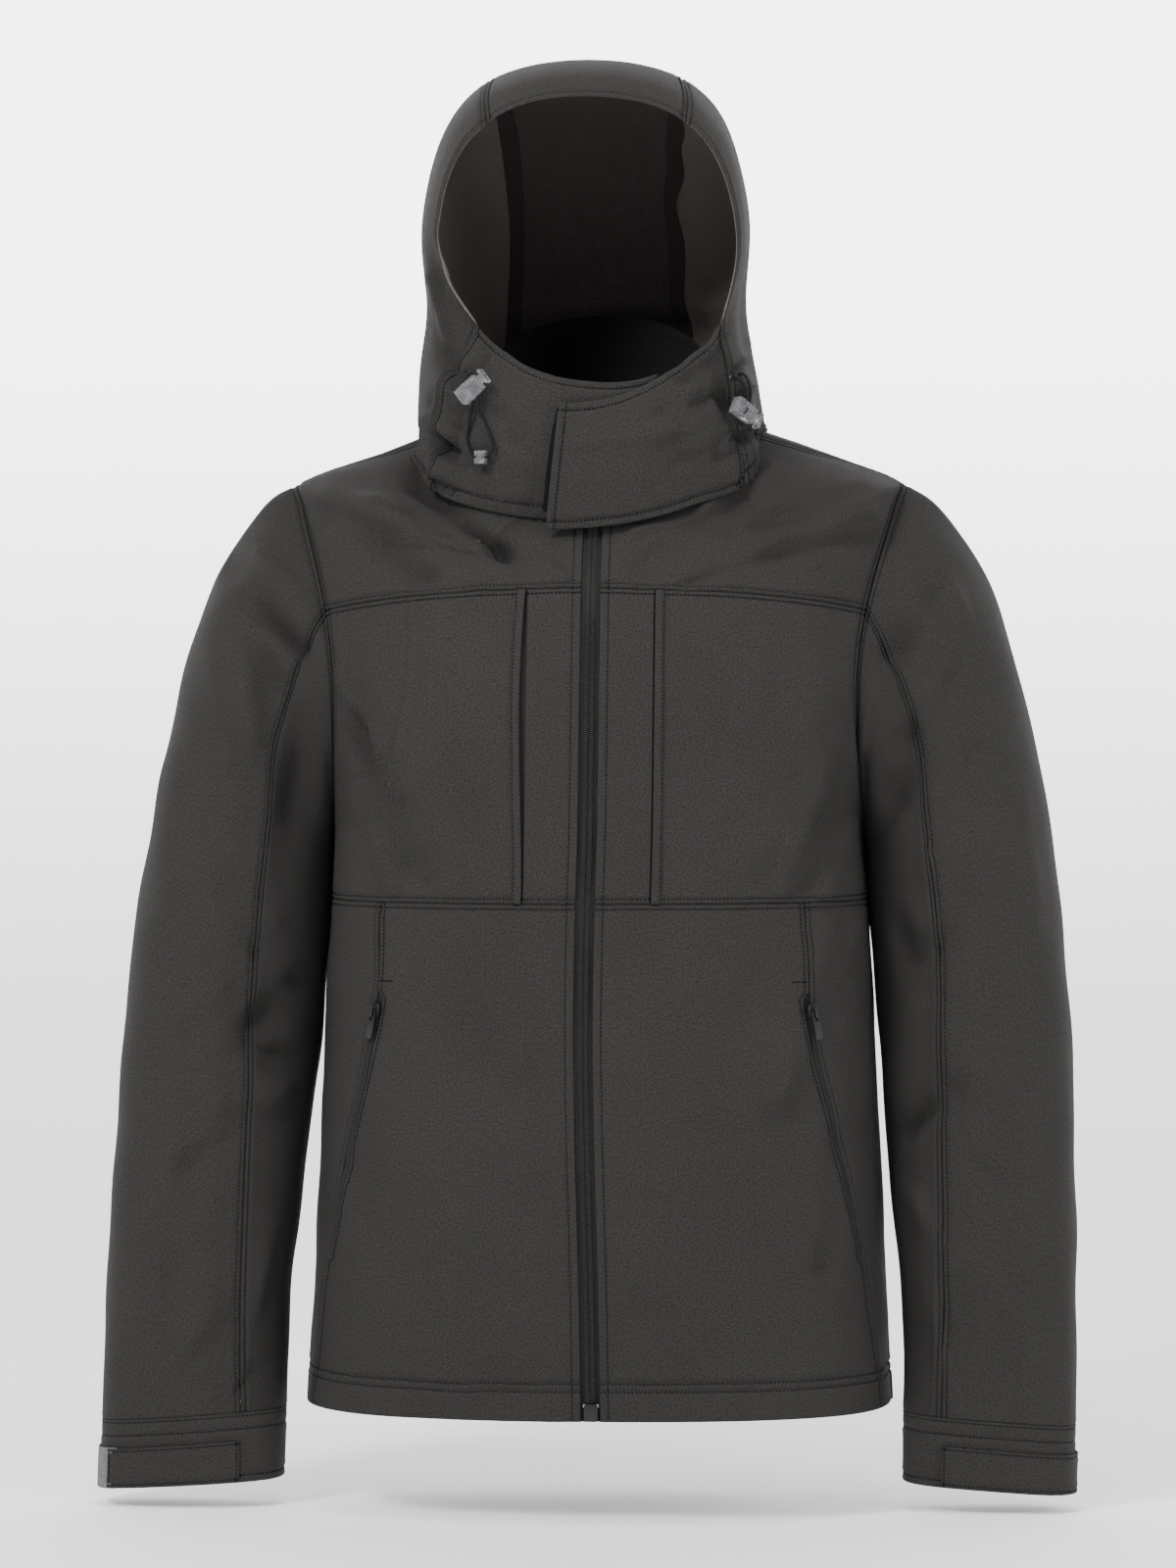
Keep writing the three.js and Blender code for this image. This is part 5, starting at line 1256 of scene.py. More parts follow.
SHELL = Finish(
    "softshell_face", (46, 44.5, 43), 0.84, Pattern.WOVEN, grain=0.85, thread=0.0007, depth=0.1, puckers=0.55,
    gloss=0.18,
)
FLEECE = {"pattern": Pattern.FLEECE, "rough": 0.95, "thread": 0.0019, "depth": 0.16, "gloss": 0.1}
LINING = Finish("fleece_back", (70, 65, 64), grain=0.55, sheen=0.05, **FLEECE)
# A lighter copy of the lining fleece for the hood's inner walls: painted light on the walls that face the
# lamps.
PAINTED_LIGHT_LINING = Finish("fleece_sides", (104, 98, 95), grain=0.55, **FLEECE)
# A darker copy of the lining fleece for the collar's inside: painted shade in the neck hole under the hood.
PAINTED_SHADE_LINING = Finish("collar_lining", (30, 28, 28), grain=0.5, **FLEECE)
MESH_LINING = Finish(
    "pocket_lining", (44, 42, 41), 0.95, Pattern.WOVEN, grain=0.3, thread=0.0014, depth=0.15, gloss=0.1
)
BINDING = Finish(
    "seam_binding", (56, 52, 51), 0.9, Pattern.WOVEN, grain=0.4, thread=0.0008, depth=0.08, gloss=0.1
)
THREAD = Finish(
    "sewing_thread", (9, 8, 8), 0.8, Pattern.TWISTED, grain=0.1, thread=0.0005, depth=0.05, gloss=0.15
)
TAPE_CLOTH = Finish(
    "zip_tape_cloth", (36, 35, 34), 0.85, Pattern.RIBBED, grain=0.16, thread=0.0008, depth=0.1, gloss=0.15
)
COIL = Finish("zip_coil", (42, 41, 40), 0.6, Pattern.MOULDED, grain=0.1, depth=0.03, gloss=0.25)
BLACK = Finish(
    "black_metal", (18, 18, 19), 0.42, Pattern.MOULDED, grain=0.12, depth=0.02, metal=0.1, coat=0.08,
    gloss=0.4,
)
SILVER = Finish("bare_metal", (150, 150, 150), 0.3, Pattern.MOULDED, grain=0.1, depth=0.02, metal=1.0)
CLEAR = Finish("clear_plastic", (168, 169, 173), 0.22, Pattern.MOULDED, grain=0.1, depth=0.03, clear=0.8)
ELASTIC = Finish(
    "elastic_cord", (20, 19, 20), 0.7, Pattern.BRAID, grain=0.35, thread=0.0016, depth=0.14, gloss=0.2
)
GREY_LOOP = Finish("grey_loop", (106, 106, 108), 0.95, Pattern.LOOPS, grain=0.45, depth=0.3, gloss=0.1)
DARK_LOOP = Finish("dark_loop", (18, 17, 19), 0.95, Pattern.LOOPS, grain=0.6, depth=0.3, gloss=0.15)


@dataclass
class Workshop:
    """Dresses finished pieces: their materials, slots, bodies and the CAD nodes they stand for."""

    groups: Groups = field(default_factory=Groups)
    made: dict[str, bpy.types.Material] = field(default_factory=dict)

    def material(self, finish: Finish) -> bpy.types.Material:
        """A finish's material, built when first asked for."""
        if finish.name not in self.made:
            self.made[finish.name] = finish.material(self.groups)
        return self.made[finish.name]

    def dress(
        self,
        piece: bpy.types.Object,
        slot: str,
        finishes: Sequence[Finish],
        nodes: Iterable[str] = (),
        body: str = "jacket",
    ) -> bpy.types.Object:
        """Gives a piece its finishes and its place in the frame.

        Args:
            piece: the finished object.
            slot: not used.
            finishes: one finish for each material slot.
            nodes: the CAD nodes that it stands for.
            body: the body that it moves with.

        Returns:
            The piece.
        """
        while len(piece.data.materials) < len(finishes):
            piece.data.materials.append(None)
        for at, finish in enumerate(finishes):
            piece.data.materials[at] = self.material(finish)
        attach(piece, body)
        if nodes:
            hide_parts(*nodes)
        LOG.info("%s: %d faces", piece.name, len(piece.data.polygons))
        return piece

    def carry(self, node: str, finish: Finish) -> None:
        """Gives a CAD node that stays its finish."""
        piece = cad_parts[node]
        piece = bpy.data.objects[piece] if isinstance(piece, str) else piece
        for slot in piece.material_slots:
            slot.material = self.material(finish)
        if not piece.material_slots:
            piece.data.materials.append(self.material(finish))
        LOG.info("%s: kept", node)


# The studio


@dataclass
class Studio:
    """The camera at the photograph's angle, plain soft light and a pale floor."""

    azimuth: float = 3.0
    distance: float = 3.5
    tall: float = 1.12
    level: float = -0.252
    aside: float = 0.0084
    floor: float = -0.764
    surroundings: float = 0.5
    backdrop: float = 4.5
    sweep_from: float = 4500.0
    sweep: float = 3500.0

    def place_camera(self) -> None:
        """Adds the camera."""
        turn = math.radians(self.azimuth)
        data = bpy.data.cameras.new("camera")
        data.sensor_fit = "VERTICAL"
        data.sensor_height = 24.0
        data.lens = 24.0 * self.distance / self.tall
        data.clip_end = 50
        camera = bpy.data.objects.new("camera", data)
        aim = Vector((-self.aside * math.cos(turn), -self.aside * math.sin(turn), self.level))
        camera.location = aim + self.distance * Vector((math.sin(turn), -math.cos(turn), 0))
        camera.rotation_euler = (math.pi / 2, 0, turn)
        bpy.context.scene.collection.objects.link(camera)
        bpy.context.scene.camera = camera

    def light(self) -> None:
        """Adds the soft lights and the pale surroundings."""
        world = bpy.data.worlds.new("studio_light")
        world.use_nodes = True
        world.node_tree.nodes["Background"].inputs["Color"].default_value = (1, 1, 1, 1)
        world.node_tree.nodes["Background"].inputs["Strength"].default_value = self.surroundings
        bpy.context.scene.world = world
        for name, spot, size, power in (
            ("key", (-1.6, -2.1, 1.9), 0.8, 100),
            ("fill", (2.2, -1.6, 0.9), 1.0, 34),
            ("top", (0.1, -0.9, 2.3), 1.0, 30),
        ):
            data = bpy.data.lights.new(name, "AREA")
            data.energy, data.size = power, size
            lamp = bpy.data.objects.new(name, data)
            lamp.location = spot
            lamp.rotation_euler = (Vector((0, 0, -0.25)) - lamp.location).to_track_quat("-Z", "Y").to_euler()
            bpy.context.scene.collection.objects.link(lamp)

    def lay_floor(self) -> None:
        """Adds the floor with its bright sweep behind, which aren't part of the jacket."""
        turns = np.radians(np.linspace(0, 90, 40))
        y = np.concatenate([[-7000, -2000, 0, 2500], self.sweep_from + self.sweep * np.sin(turns),
                            [self.sweep_from + self.sweep]])
        z = np.concatenate([[0] * 4, self.sweep * (1 - np.cos(turns)), [9000]]) + self.floor / MM
        x = np.linspace(-12000, 12000, 9)
        points = np.stack(np.broadcast_arrays(x[:, None], y, z), -1)
        index = np.arange(points[..., 0].size).reshape(points.shape[:2])
        faces = np.stack([index[:-1, :-1], index[1:, :-1], index[1:, 1:], index[:-1, 1:]], -1).reshape(-1, 4)
        floor = build_object("floor", points.reshape(-1, 3), [faces])
        material = bpy.data.materials.new("pale_floor")
        material.use_nodes = True
        tree = Tree(material.node_tree)
        shader = material.node_tree.nodes["Principled BSDF"]
        place = tree.add("ShaderNodeTexCoord").outputs["Object"]
        speck = tree.noise(place, 3.0)
        tone = tree.add("ShaderNodeMapRange", {"Value": speck, "To Min": 0.93, "To Max": 0.97})
        tree.tree.links.new(tone.outputs[0], shader.inputs["Base Color"])
        shader.inputs["Roughness"].default_value = 0.9
        shader.inputs["Specular IOR Level"].default_value = 0.1
        height = tree.add("ShaderNodeSeparateXYZ", {0: place}).outputs[2]
        glow = tree.add("ShaderNodeMapRange", {
            "Value": height,
            "From Min": self.floor,
            "From Max": self.floor + 1.6,
            "To Min": 0.25,
            "To Max": self.backdrop,
        })
        tree.tree.links.new(glow.outputs[0], shader.inputs["Emission Strength"])
        shader.inputs["Emission Color"].default_value = (1, 1, 1, 1)
        floor.data.materials.append(material)


# Small repeated shapes


@dataclass
class Stamp:
    """A small rounded bar that is modelled once and copied many times into one mesh."""

    sides: int = 6
    rings: tuple[tuple[float, float], ...] = ((-0.6, 0.85), (0.6, 0.85))
    sunk: float = 0.0

    def shape(self) -> tuple[Array, Array, Array]:
        """The bar, from -1 to 1 on each axis, with its end faces and its sides."""
        turns = 2 * np.pi * np.arange(self.sides) / self.sides
        ring = np.stack([np.zeros(self.sides), np.sin(turns), np.cos(turns)], -1)
        bands = [ring * size + [at, 0, 0] for at, size in self.rings]
        points = np.concatenate([[[-1, 0, -self.sunk]], *bands, [[1, 0, -self.sunk]]])
        k = np.arange(self.sides)
        after = (k + 1) % self.sides
        last = len(points) - 1
        top = 1 + (len(self.rings) - 1) * self.sides
        tips = [np.stack([k * 0, after + 1, k + 1], -1), np.stack([k * 0 + last, k + top, after + top], -1)]
        walls = [np.stack([k + a, after + a, after + a + self.sides, k + a + self.sides], -1)
                 for a in range(1, top, self.sides)]
        return points, np.concatenate(tips), np.concatenate(walls)

    def copies(
        self, name: str, centres: Array, axes: Sequence[Array], sizes: Sequence[float]
    ) -> bpy.types.Object:
        """Makes one object of many copies.

        Args:
            name: its name.
            centres: where the copies are.
            axes: three directions of each copy: along, across and out.
            sizes: the copies' whole length, width and height.

        Returns:
            The object.
        """
        shape, tips, walls = self.shape()
        points = centres[:, None] + sum(
            shape[None, :, k : k + 1] * axis[:, None] * size / 2
            for k, (axis, size) in enumerate(zip(axes, sizes))
        )
        first = np.arange(len(centres))[:, None, None] * len(shape)
        faces = [(tips[None] + first).reshape(-1, 3), (walls[None] + first).reshape(-1, 4)]
        flat = np.stack([shape[:, 0] * sizes[0] / 2, shape[:, 1] * sizes[1] / 2], -1)
        uv = np.tile(flat, (len(centres), 1))
        return build_object(name, points.reshape(-1, 3), faces, uv)


def frames_along(line: Line, marks: Array) -> tuple[Array, list[Array]]:
    """Places at distances along a line, with their directions along, across and out."""
    at, ahead, behind = line.at(marks), line.at(marks + 0.5), line.at(marks - 0.5)
    along = unit(ahead.points - behind.points)
    side = unit(np.cross(at.normals, along))
    return at.points, [along, side, np.cross(along, side)]


def tube(
    name: str, route: Array, radius: float, sides: int = 14, step: float = 1.1
) -> tuple[bpy.types.Object, Array]:
    """Makes a round cord.

    Args:
        name: its name.
        route: the points that its centre passes through.
        radius: its radius.
        sides: how many sides its round has.
        step: how far apart its rings are.

    Returns:
        The cord and the close points of its centre.
    """
    marks = lengths_along(route, 0)
    slopes = np.gradient(route, marks, axis=0)
    at = np.linspace(0, marks[-1], max(int(marks[-1] / step), 4))
    i = np.clip(np.searchsorted(marks, at) - 1, 0, len(marks) - 2)
    span = (marks[i + 1] - marks[i])[:, None]
    t = ((at - marks[i])[:, None]) / span
    path = ((2 * t**3 - 3 * t**2 + 1) * route[i] + (t**3 - 2 * t**2 + t) * slopes[i] * span
            + (3 * t**2 - 2 * t**3) * route[i + 1] + (t**3 - t**2) * slopes[i + 1] * span)
    along = unit(np.gradient(path, axis=0))
    beside_it = (0.0, 0.0, 1.0) if abs(along[0][2]) < 0.9 else (1.0, 0.0, 0.0)
    out = np.cross(along[0], beside_it)
    spokes = []
    for ahead in along:
        out = out - ahead * np.dot(out, ahead)
        out = out / np.linalg.norm(out)
        spokes.append((out, np.cross(ahead, out)))
    turns = 2 * np.pi * np.arange(sides) / sides
    rings = np.array([
        p + radius * (np.cos(turns)[:, None] * a + np.sin(turns)[:, None] * b)
        for p, (a, b) in zip(path, spokes)
    ])
    n = len(path)
    index = np.arange(n * sides).reshape(n, sides)
    beside = np.roll(index, -1, 1)
    walls = np.stack([index[:-1], beside[:-1], beside[1:], index[1:]], -1).reshape(-1, 4)
    k = np.arange(sides)
    caps = np.concatenate([
        np.stack([k * 0 + n * sides, (k + 1) % sides, k], -1),
        np.stack([k * 0 + n * sides + 1, index[-1], beside[-1]], -1),
    ])
    points = np.concatenate([rings.reshape(-1, 3), path[:1] - along[:1] * 0.3, path[-1:] + along[-1:] * 0.3])
    long = lengths_along(path, 0)
    uv = np.stack([np.repeat(long, sides), np.tile(turns * radius, n)], -1)
    uv = np.concatenate([uv, uv[:2] * 0])
    return build_object(name, points, [walls, caps], uv), path


# The cuts of the sheets


@dataclass(frozen=True)
class Cut:
    """A sheet's flat width and length in metres, its area where it isn't a rectangle, and how it is held."""

    width: float
    length: float
    area: Optional[float] = None
    held: str = "hung"


def declare(
    shop: Workshop,
    piece: bpy.types.Object,
    name: str,
    finishes: Sequence[Finish] = (SHELL, LINING),
    slot: str = "softshell",
    has_node: bool = True,
) -> None:
    """Dresses a cloth piece.

    Args:
        shop: what dresses it.
        piece: the finished piece.
        name: the name of the CAD node that it stands for.
        finishes: its outer and its inner face.
        slot: a slot name, passed on to the workshop.
        has_node: whether it stands for the CAD node of that name.
    """
    shop.dress(piece, slot, finishes, [name] if has_node else ())


# The jacket's sub-assemblies


@dataclass
class Trunk:
    """The body of the jacket: fronts, chests, sides, yokes, back and collar."""

    form: BodyForm
    sewing: Sewing
    shop: Workshop
    welt_inner: float = 44.5
    welt_outer: float = 51.5
    welt_bow: float = 3.4
    bartack_pitch: float = 0.75
    opening_right: float = 0.3
    opening_left: float = 0.08
    panels: dict[str, Panel] = field(default_factory=dict)

    def build(self) -> None:
        """Lays every panel, sews it and dresses it."""
        for side, name in ((1, "left"), (-1, "right")):
            self._fronts(side, name)
            self._chest(side, name)
        self._backs()
        for name, panel in self.panels.items():
            if not name.startswith("chest"):
                # The collar's inner face takes the darker copy of the lining, which is painted shade.
                faces = (SHELL, PAINTED_SHADE_LINING if name == "collar" else LINING)
                declare(self.shop, join_panels(name, [panel]), name, faces)

    def _add(self, name: str, spot: Callable, works: Sequence[Sewn], flip: bool, **more: object) -> Panel:
        """Lays one panel with its edges in the order first, last, bottom and top."""
        panel = Panel(name, spot, *(work.value for work in works), flip=flip, **more)
        self.panels[name] = panel
        return panel

    def _fronts(self, side: int, name: str) -> None:
        """The lower front, the side panel and the front yoke."""
        form = self.form

        def front(s: Array, t: Array) -> Array:
            """From the zip to the pocket seam, from the hem to the chest seam."""
            v = form.chest_v * t
            end = form.pocket.read(v)["angle"] - form.pocket_notch(v)
            return form.point(side * mix(form.angle_at(v, form.zip_half), end, s), v)

        def flank(s: Array, t: Array) -> Array:
            """From the pocket seam to the side seam."""
            v = form.chest_v * t
            return form.point(side * mix(form.pocket.read(v)["angle"], 90.0, s), v)

        def yoke(s: Array, t: Array) -> Array:
            """From the zip to the armhole and the shoulder seam."""
            v = mix(form.yoke_v, form.neck_v, t)
            return form.point(side * mix(form.angle_at(v, form.zip_half), form.side_end(v, True), s), v)

        group = f"stitches_front_{name}"
        flip = side < 0
        for piece, spot, works in (
            ("front", front, (Sewn.ZIP_EDGE, Sewn.SEAM, Sewn.HEM, Sewn.SEAM)),
            ("side", flank, (Sewn.SEAM, Sewn.SEAM, Sewn.HEM, Sewn.SEAM)),
            ("yoke_front", yoke, (Sewn.ZIP_EDGE, Sewn.ARMHOLE, Sewn.SEAM, Sewn.PLAIN)),
        ):
            self._add(f"{piece}_{name}", spot, works, flip).sew(self.sewing, group)
        self.sewing.add(group, self._bartack(side), self.bartack_pitch)

    def _bartack(self, side: int) -> Line:
        """The short dense bar of stitches across the top of a hand pocket."""
        v = np.full(12, self.form.pocket_high + self.form.bartack_rise)
        angle = side * (float(self.form.pocket.read(v[0])["angle"]) - np.linspace(0.6, 4.6, 12))
        points, normals = self.form.point(angle, v), self.form.normal(angle, v)
        return Line(points, normals).raised(BODY_FOLDS.height(points, normals)[:, None])

    def _chest(self, side: int, name: str) -> None:
        """The chest in two parts with the pocket's opening between, its lining and its welt."""
        form, flip = self.form, side < 0

        def bow(v: Array) -> Array:
            """How far the welt bows away from the zip."""
            share = np.clip((v - form.chest_v) / (form.yoke_v - form.chest_v), 0, 1)
            return self.welt_bow * np.sin(np.pi * share**1.8) if side < 0 else 0 * share

        def across(start: Callable, end: Callable) -> Callable:
            """A spot between two distances from the centre front."""

            def spot(s: Array, t: Array) -> Array:
                """Between the chest seam and the yoke seam."""
                v = mix(form.chest_v, form.yoke_v, t)
                return form.point(side * mix(start(v), end(v), s), v)

            return spot

        def at(x: float, share: float = 0.0) -> Callable:
            """The angle at a distance from the centre, moved by a share of the bow."""
            return lambda v: form.angle_at(v, x * form.narrow(v) + share * bow(v))

        gap = self.opening_right if side < 0 else self.opening_left
        spot = across(at(form.zip_half), at(self.welt_inner - gap))
        works = (Sewn.ZIP_EDGE, Sewn.FOLD, Sewn.SEAM, Sewn.SEAM)
        inner = self._add(f"chest_inner_{name}", spot, works, flip)
        spot = across(at(self.welt_inner + gap, 1), lambda v: form.side_end(v, True))
        works = (Sewn.FOLD, Sewn.ARMHOLE, Sewn.SEAM, Sewn.SEAM)
        outer = self._add(f"chest_outer_{name}", spot, works, flip)
        group = f"stitches_front_{name}"
        inner.sew(self.sewing, group)
        outer.sew(self.sewing, group)
        declare(self.shop, join_panels(f"chest_{name}", [inner, outer]), f"chest_{name}")
        spot = across(at(self.welt_inner, 1), at(self.welt_outer, 0.9))
        works = (Sewn.FOLD, Sewn.WELT_SEWN, Sewn.PLAIN, Sewn.PLAIN)
        welt = self._add(f"chest_welt_{name}", spot, works, flip, lift=1.75, thickness=1.4, step=3)
        welt.sew(self.sewing, group)
        piece = join_panels(f"chest_pocket_welt_{name}", [welt])
        declare(self.shop, piece, f"chest_pocket_welt_{name}")
        bag = Panel("bag", across(at(self.welt_inner - 6), at(self.welt_outer, 1)), *(Sewn.TAPE.value,) * 4,
                    flip=flip, lift=-2.0, thickness=0.5)
        piece = join_panels(f"chest_pocket_lining_{name}", [bag])
        declare(self.shop, piece, piece.name, (MESH_LINING, MESH_LINING), has_node=False)

    def _backs(self) -> None:
        """The back, the back yoke and the collar."""
        form = self.form

        def back(low: float, high: float) -> Callable:
            """A spot from one side of the back to the other."""

            def spot(s: Array, t: Array) -> Array:
                """Between two heights."""
                v = mix(low, high, t)
                end = form.side_end(v, False)
                return form.point(mix(end, 360 - end, s), v)

            return spot

        def collar(s: Array, t: Array) -> Array:
            """All round from one side of the zip to the other."""
            v = mix(form.neck_v, form.collar_v, t)
            edge = form.angle_at(v, form.zip_half)
            return form.point(mix(edge, 360 - edge, s), v)

        for name, spot, ends, low, high in (
            ("back", back(0.0, form.yoke_v), Sewn.ARMHOLE, Sewn.HEM, Sewn.SEAM),
            ("back_yoke", back(form.yoke_v, form.neck_v), Sewn.ARMHOLE, Sewn.SEAM, Sewn.PLAIN),
            ("collar", collar, Sewn.ZIP_EDGE, Sewn.PLAIN, Sewn.COLLAR_TOP),
        ):
            self._add(name, spot, (ends, ends, low, high), False).sew(self.sewing, "stitches_back")


@dataclass
class Sleeves:
    """Both sleeves with their cuffs, tabs and the patch that one tab closes on."""

    form: SleeveForm
    sewing: Sewing
    shop: Workshop
    tab_end: dict[str, float] = field(default_factory=lambda: {"right": 0.892, "left": 1.06})

    def build(self) -> None:
        """Builds both."""
        for side, name in ((1, "left"), (-1, "right")):
            self._sleeve(side, name)

    def _ring(self, side: int, q: tuple[float, float], w: tuple[float, float]) -> Callable:
        """A spot between two lines down the sleeve and two rings."""
        return lambda s, t: self.form.point(side, mix(*q, s), mix(*w, t))

    def _sleeve(self, side: int, name: str) -> None:
        """The upper and under panels, the cuff and the tab."""
        form, flip, group = self.form, side > 0, f"stitches_sleeve_{name}"
        seam = form.seam_step
        works = (Sewn.SEAM.value, Sewn.SEAM.value, Sewn.ARMHOLE.value, Sewn.FLAT.value)
        for part, q in (("upper", (seam, 2 - seam)), ("under", (-seam, seam))):
            node = f"sleeve_{part}_{name}"
            panel = Panel(node, self._ring(side, q, (0, form.cuff_w)), *works, flip=flip)
            panel.sew(self.sewing, group)
            declare(self.shop, join_panels(node, [panel]), node)
        node = f"cuff_{name}"
        none, top, end = Sewn.PLAIN.value, Sewn.CUFF_TOP.value, Sewn.CUFF_END.value
        cuff = Panel(node, self._ring(side, (-1, 1), (form.cuff_w, form.end_w)), none, none, top, end,
                     flip=flip, closed=True)
        cuff.sew(self.sewing, group)
        declare(self.shop, join_panels(node, [cuff]), node)
        tab_work = (Sewn.TAB.value,) * 4
        q = (seam, self.tab_end[name])
        tab = Panel("tab", self._ring(side, q, (form.tab_w, form.end_w)), *tab_work, flip=flip, lift=2.1,
                    thickness=1.4, step=3)
        tab.sew(self.sewing, group)
        declare(self.shop, join_panels(f"cuff_tab_{name}", [tab]), f"cuff_tab_{name}")
        if name == "right":
            patch = Panel("patch", self._ring(side, (0.86, 1.12), (form.tab_w, form.end_w)),
                          *(Sewn.TAPE.value,) * 4, flip=flip, lift=1.6, thickness=1.0, step=2)
            piece = join_panels("cuff_loop_patch", [patch])
            declare(self.shop, piece, "cuff_loop_patch", (GREY_LOOP, GREY_LOOP), "grey_loop_patch")


@dataclass
class Hood:
    """The hood with its chin, flap and the patch under the flap."""

    form: HoodForm
    sewing: Sewing
    shop: Workshop
    step: float = 3.6
    binding_across: tuple[float, float] = (1.92, 2.04)
    binding_along: tuple[float, float] = (0.03, 0.94)
    patch_across: tuple[float, float] = (0.508, 0.714)
    patch_up: tuple[float, float] = (0.06, 0.8)

    def build(self) -> None:
        """Builds the five panels and the patch."""
        form = self.form
        foot, seam, free = Sewn.HOOD_FOOT.value, Sewn.SEAM.value, Sewn.FREE.value
        more = {"folds": HOOD_FOLDS, "step": self.step}
        for side, name in ((1, "left"), (-1, "right")):
            node = f"hood_side_{name}"
            panel = Panel(node, lambda s, t, side=side: form.point(side, 2 * s, t), foot, seam, seam, foot,
                          flip=side > 0, bottom_after=(0.5, free), **more)
            panel.sew(self.sewing, "stitches_hood")
            # The hood sides' inner faces take the lighter copy of the lining, which is painted light.
            declare(self.shop, join_panels(node, [panel]), node, (SHELL, PAINTED_LIGHT_LINING))

        def centre(s: Array, t: Array) -> Array:
            """From the right panel seam over the crown to the left one."""
            return form.point(np.where(s < 0.5, -1, 1), 3 - np.abs(2 * s - 1), t)

        def chin_right(s: Array, t: Array) -> Array:
            """From the wearer's right seam to the end under the flap."""
            return form.chin(-1, s, t)

        def chin_flap(s: Array, t: Array) -> Array:
            """From the wearer's left seam to the flap's free end."""
            return form.chin(1, s, t)

        hidden, edge = Sewn.HIDDEN.value, Sewn.FLAP.value
        for panel, group in (
            (Panel("hood_centre", centre, seam, seam, free, foot, **more), "stitches_hood"),
            (Panel("hood_chin_right", chin_right, seam, hidden, foot, free, **more), "stitches_chin"),
            (Panel("hood_chin_flap", chin_flap, seam, edge, edge, edge, flip=True, thickness=2.6, **more),
             "stitches_chin"),
        ):
            panel.sew(self.sewing, group)
            declare(self.shop, join_panels(panel.name, [panel]), panel.name)
        self._bindings()
        patch = Panel("patch", lambda s, t: form.chin(-1, mix(*self.patch_across, s), mix(*self.patch_up, t)),
                      *(Sewn.TAPE.value,) * 4, lift=1.3, thickness=0.9, folds=HOOD_FOLDS, step=2)
        piece = join_panels("chin_loop_patch", [patch])
        declare(self.shop, piece, "chin_loop_patch", (DARK_LOOP, DARK_LOOP), "dark_loop_patch")

    def _bindings(self) -> None:
        """The strips over the panel seams on the inside; the wearer's left one is ruffled."""
        for side, name in ((1, "left"), (-1, "right")):

            def spot(s: Array, t: Array, side: int = side) -> Array:
                """Along the panel seam from the face towards the nape."""
                drift = 0.012 * np.sin(17 * t)
                if side > 0:
                    drift = 0.03 * np.sin(47 * t) * np.sin(13 * t + 1)
                place = mix(*self.binding_across, s) + drift
                return self.form.point(side, place, mix(*self.binding_along, t))

            def ruffle(s: Array, t: Array, points: Array, side: int = side) -> Array:
                """How far the strip waves in and out."""
                if side < 0:
                    return -0.8 * s
                return -2.6 * s * np.maximum(np.sin(74 * t + 3 * np.sin(11 * t)), -0.2)

            strip = Panel("binding", spot, *(Sewn.TAPE.value,) * 4, flip=side > 0, folds=HOOD_FOLDS, step=3.2,
                          lift=-2.7, thickness=1.0, shape=ruffle)
            piece = join_panels(f"hood_binding_{name}", [strip])
            declare(self.shop, piece, piece.name, (BINDING, BINDING), has_node=False)


def coil(
    name: str, line: Line, marks: Array, pitch: float, apart: float, size: tuple[float, float, float]
) -> bpy.types.Object:
    """Makes the two rows of bars that a closed zip shows.

    Args:
        name: the coil's name.
        line: the middle of the zip.
        marks: where the bars of one row stand along it.
        pitch: how far apart they are; the other row stands half a pitch on.
        apart: how far each row is from the middle.
        size: a bar's length, width and height.

    Returns:
        The coil.
    """
    slant = 0.18
    bars = []
    for shift, side in ((0.0, -1), (pitch / 2, 1)):
        centres, (along, across, out) = frames_along(line, marks + shift)
        bars.append((centres + across * side * apart, unit(across + along * slant * side), out))
    centres, turned, out = (np.concatenate(parts) for parts in zip(*bars))
    stamp = Stamp(sides=8, rings=((-0.85, 0.7), (-0.5, 1.0), (0.5, 1.0), (0.85, 0.7)))
    return stamp.copies(name, centres, (turned, np.cross(out, turned), out), size)


@dataclass
class FrontZip:
    """The closed front zip: its tapes and coils."""

    form: BodyForm
    shop: Workshop
    pitch: float = 1.5
    tape_inner: float = -0.15
    tape_outer: float = 12.5

    def build(self) -> None:
        """Builds the tapes and the coils."""
        form = self.form
        still = Folds(np.zeros((0, 6)), np.zeros((0, 6)))
        for side, name in ((1, "left"), (-1, "right")):

            def spot(s: Array, t: Array, side: int = side) -> Array:
                """Between the tape's two edges, all the way up."""
                v = form.collar_v * t
                x = mix(self.tape_inner, self.tape_outer, s)
                return form.point(side * np.sign(x) * form.angle_at(v, np.abs(x)), v)

            tape = Panel("tape", spot, *(Sewn.TAPE.value,) * 4, flip=side < 0, lift=-2.15, thickness=0.8,
                         folds=still, step=3.4)
            piece = join_panels(f"zip_tape_{name}", [tape])
            declare(self.shop, piece, f"zip_tape_{name}", (TAPE_CLOTH, TAPE_CLOTH), "zip_tape")
        v = np.linspace(0.019, 1.087, 400)
        line = Line(form.point(v * 0, v), form.normal(v * 0, v)).raised(-1.5)
        long = lengths_along(line.points, 0)[-1]
        marks = np.arange(-1.0, long - 1, self.pitch)
        piece = coil("zip_coils", line, marks, self.pitch, 1.75, (3.9, 1.0, 1.9))
        self.shop.dress(piece, "zip_tape", (COIL,), ["zip_chain"])


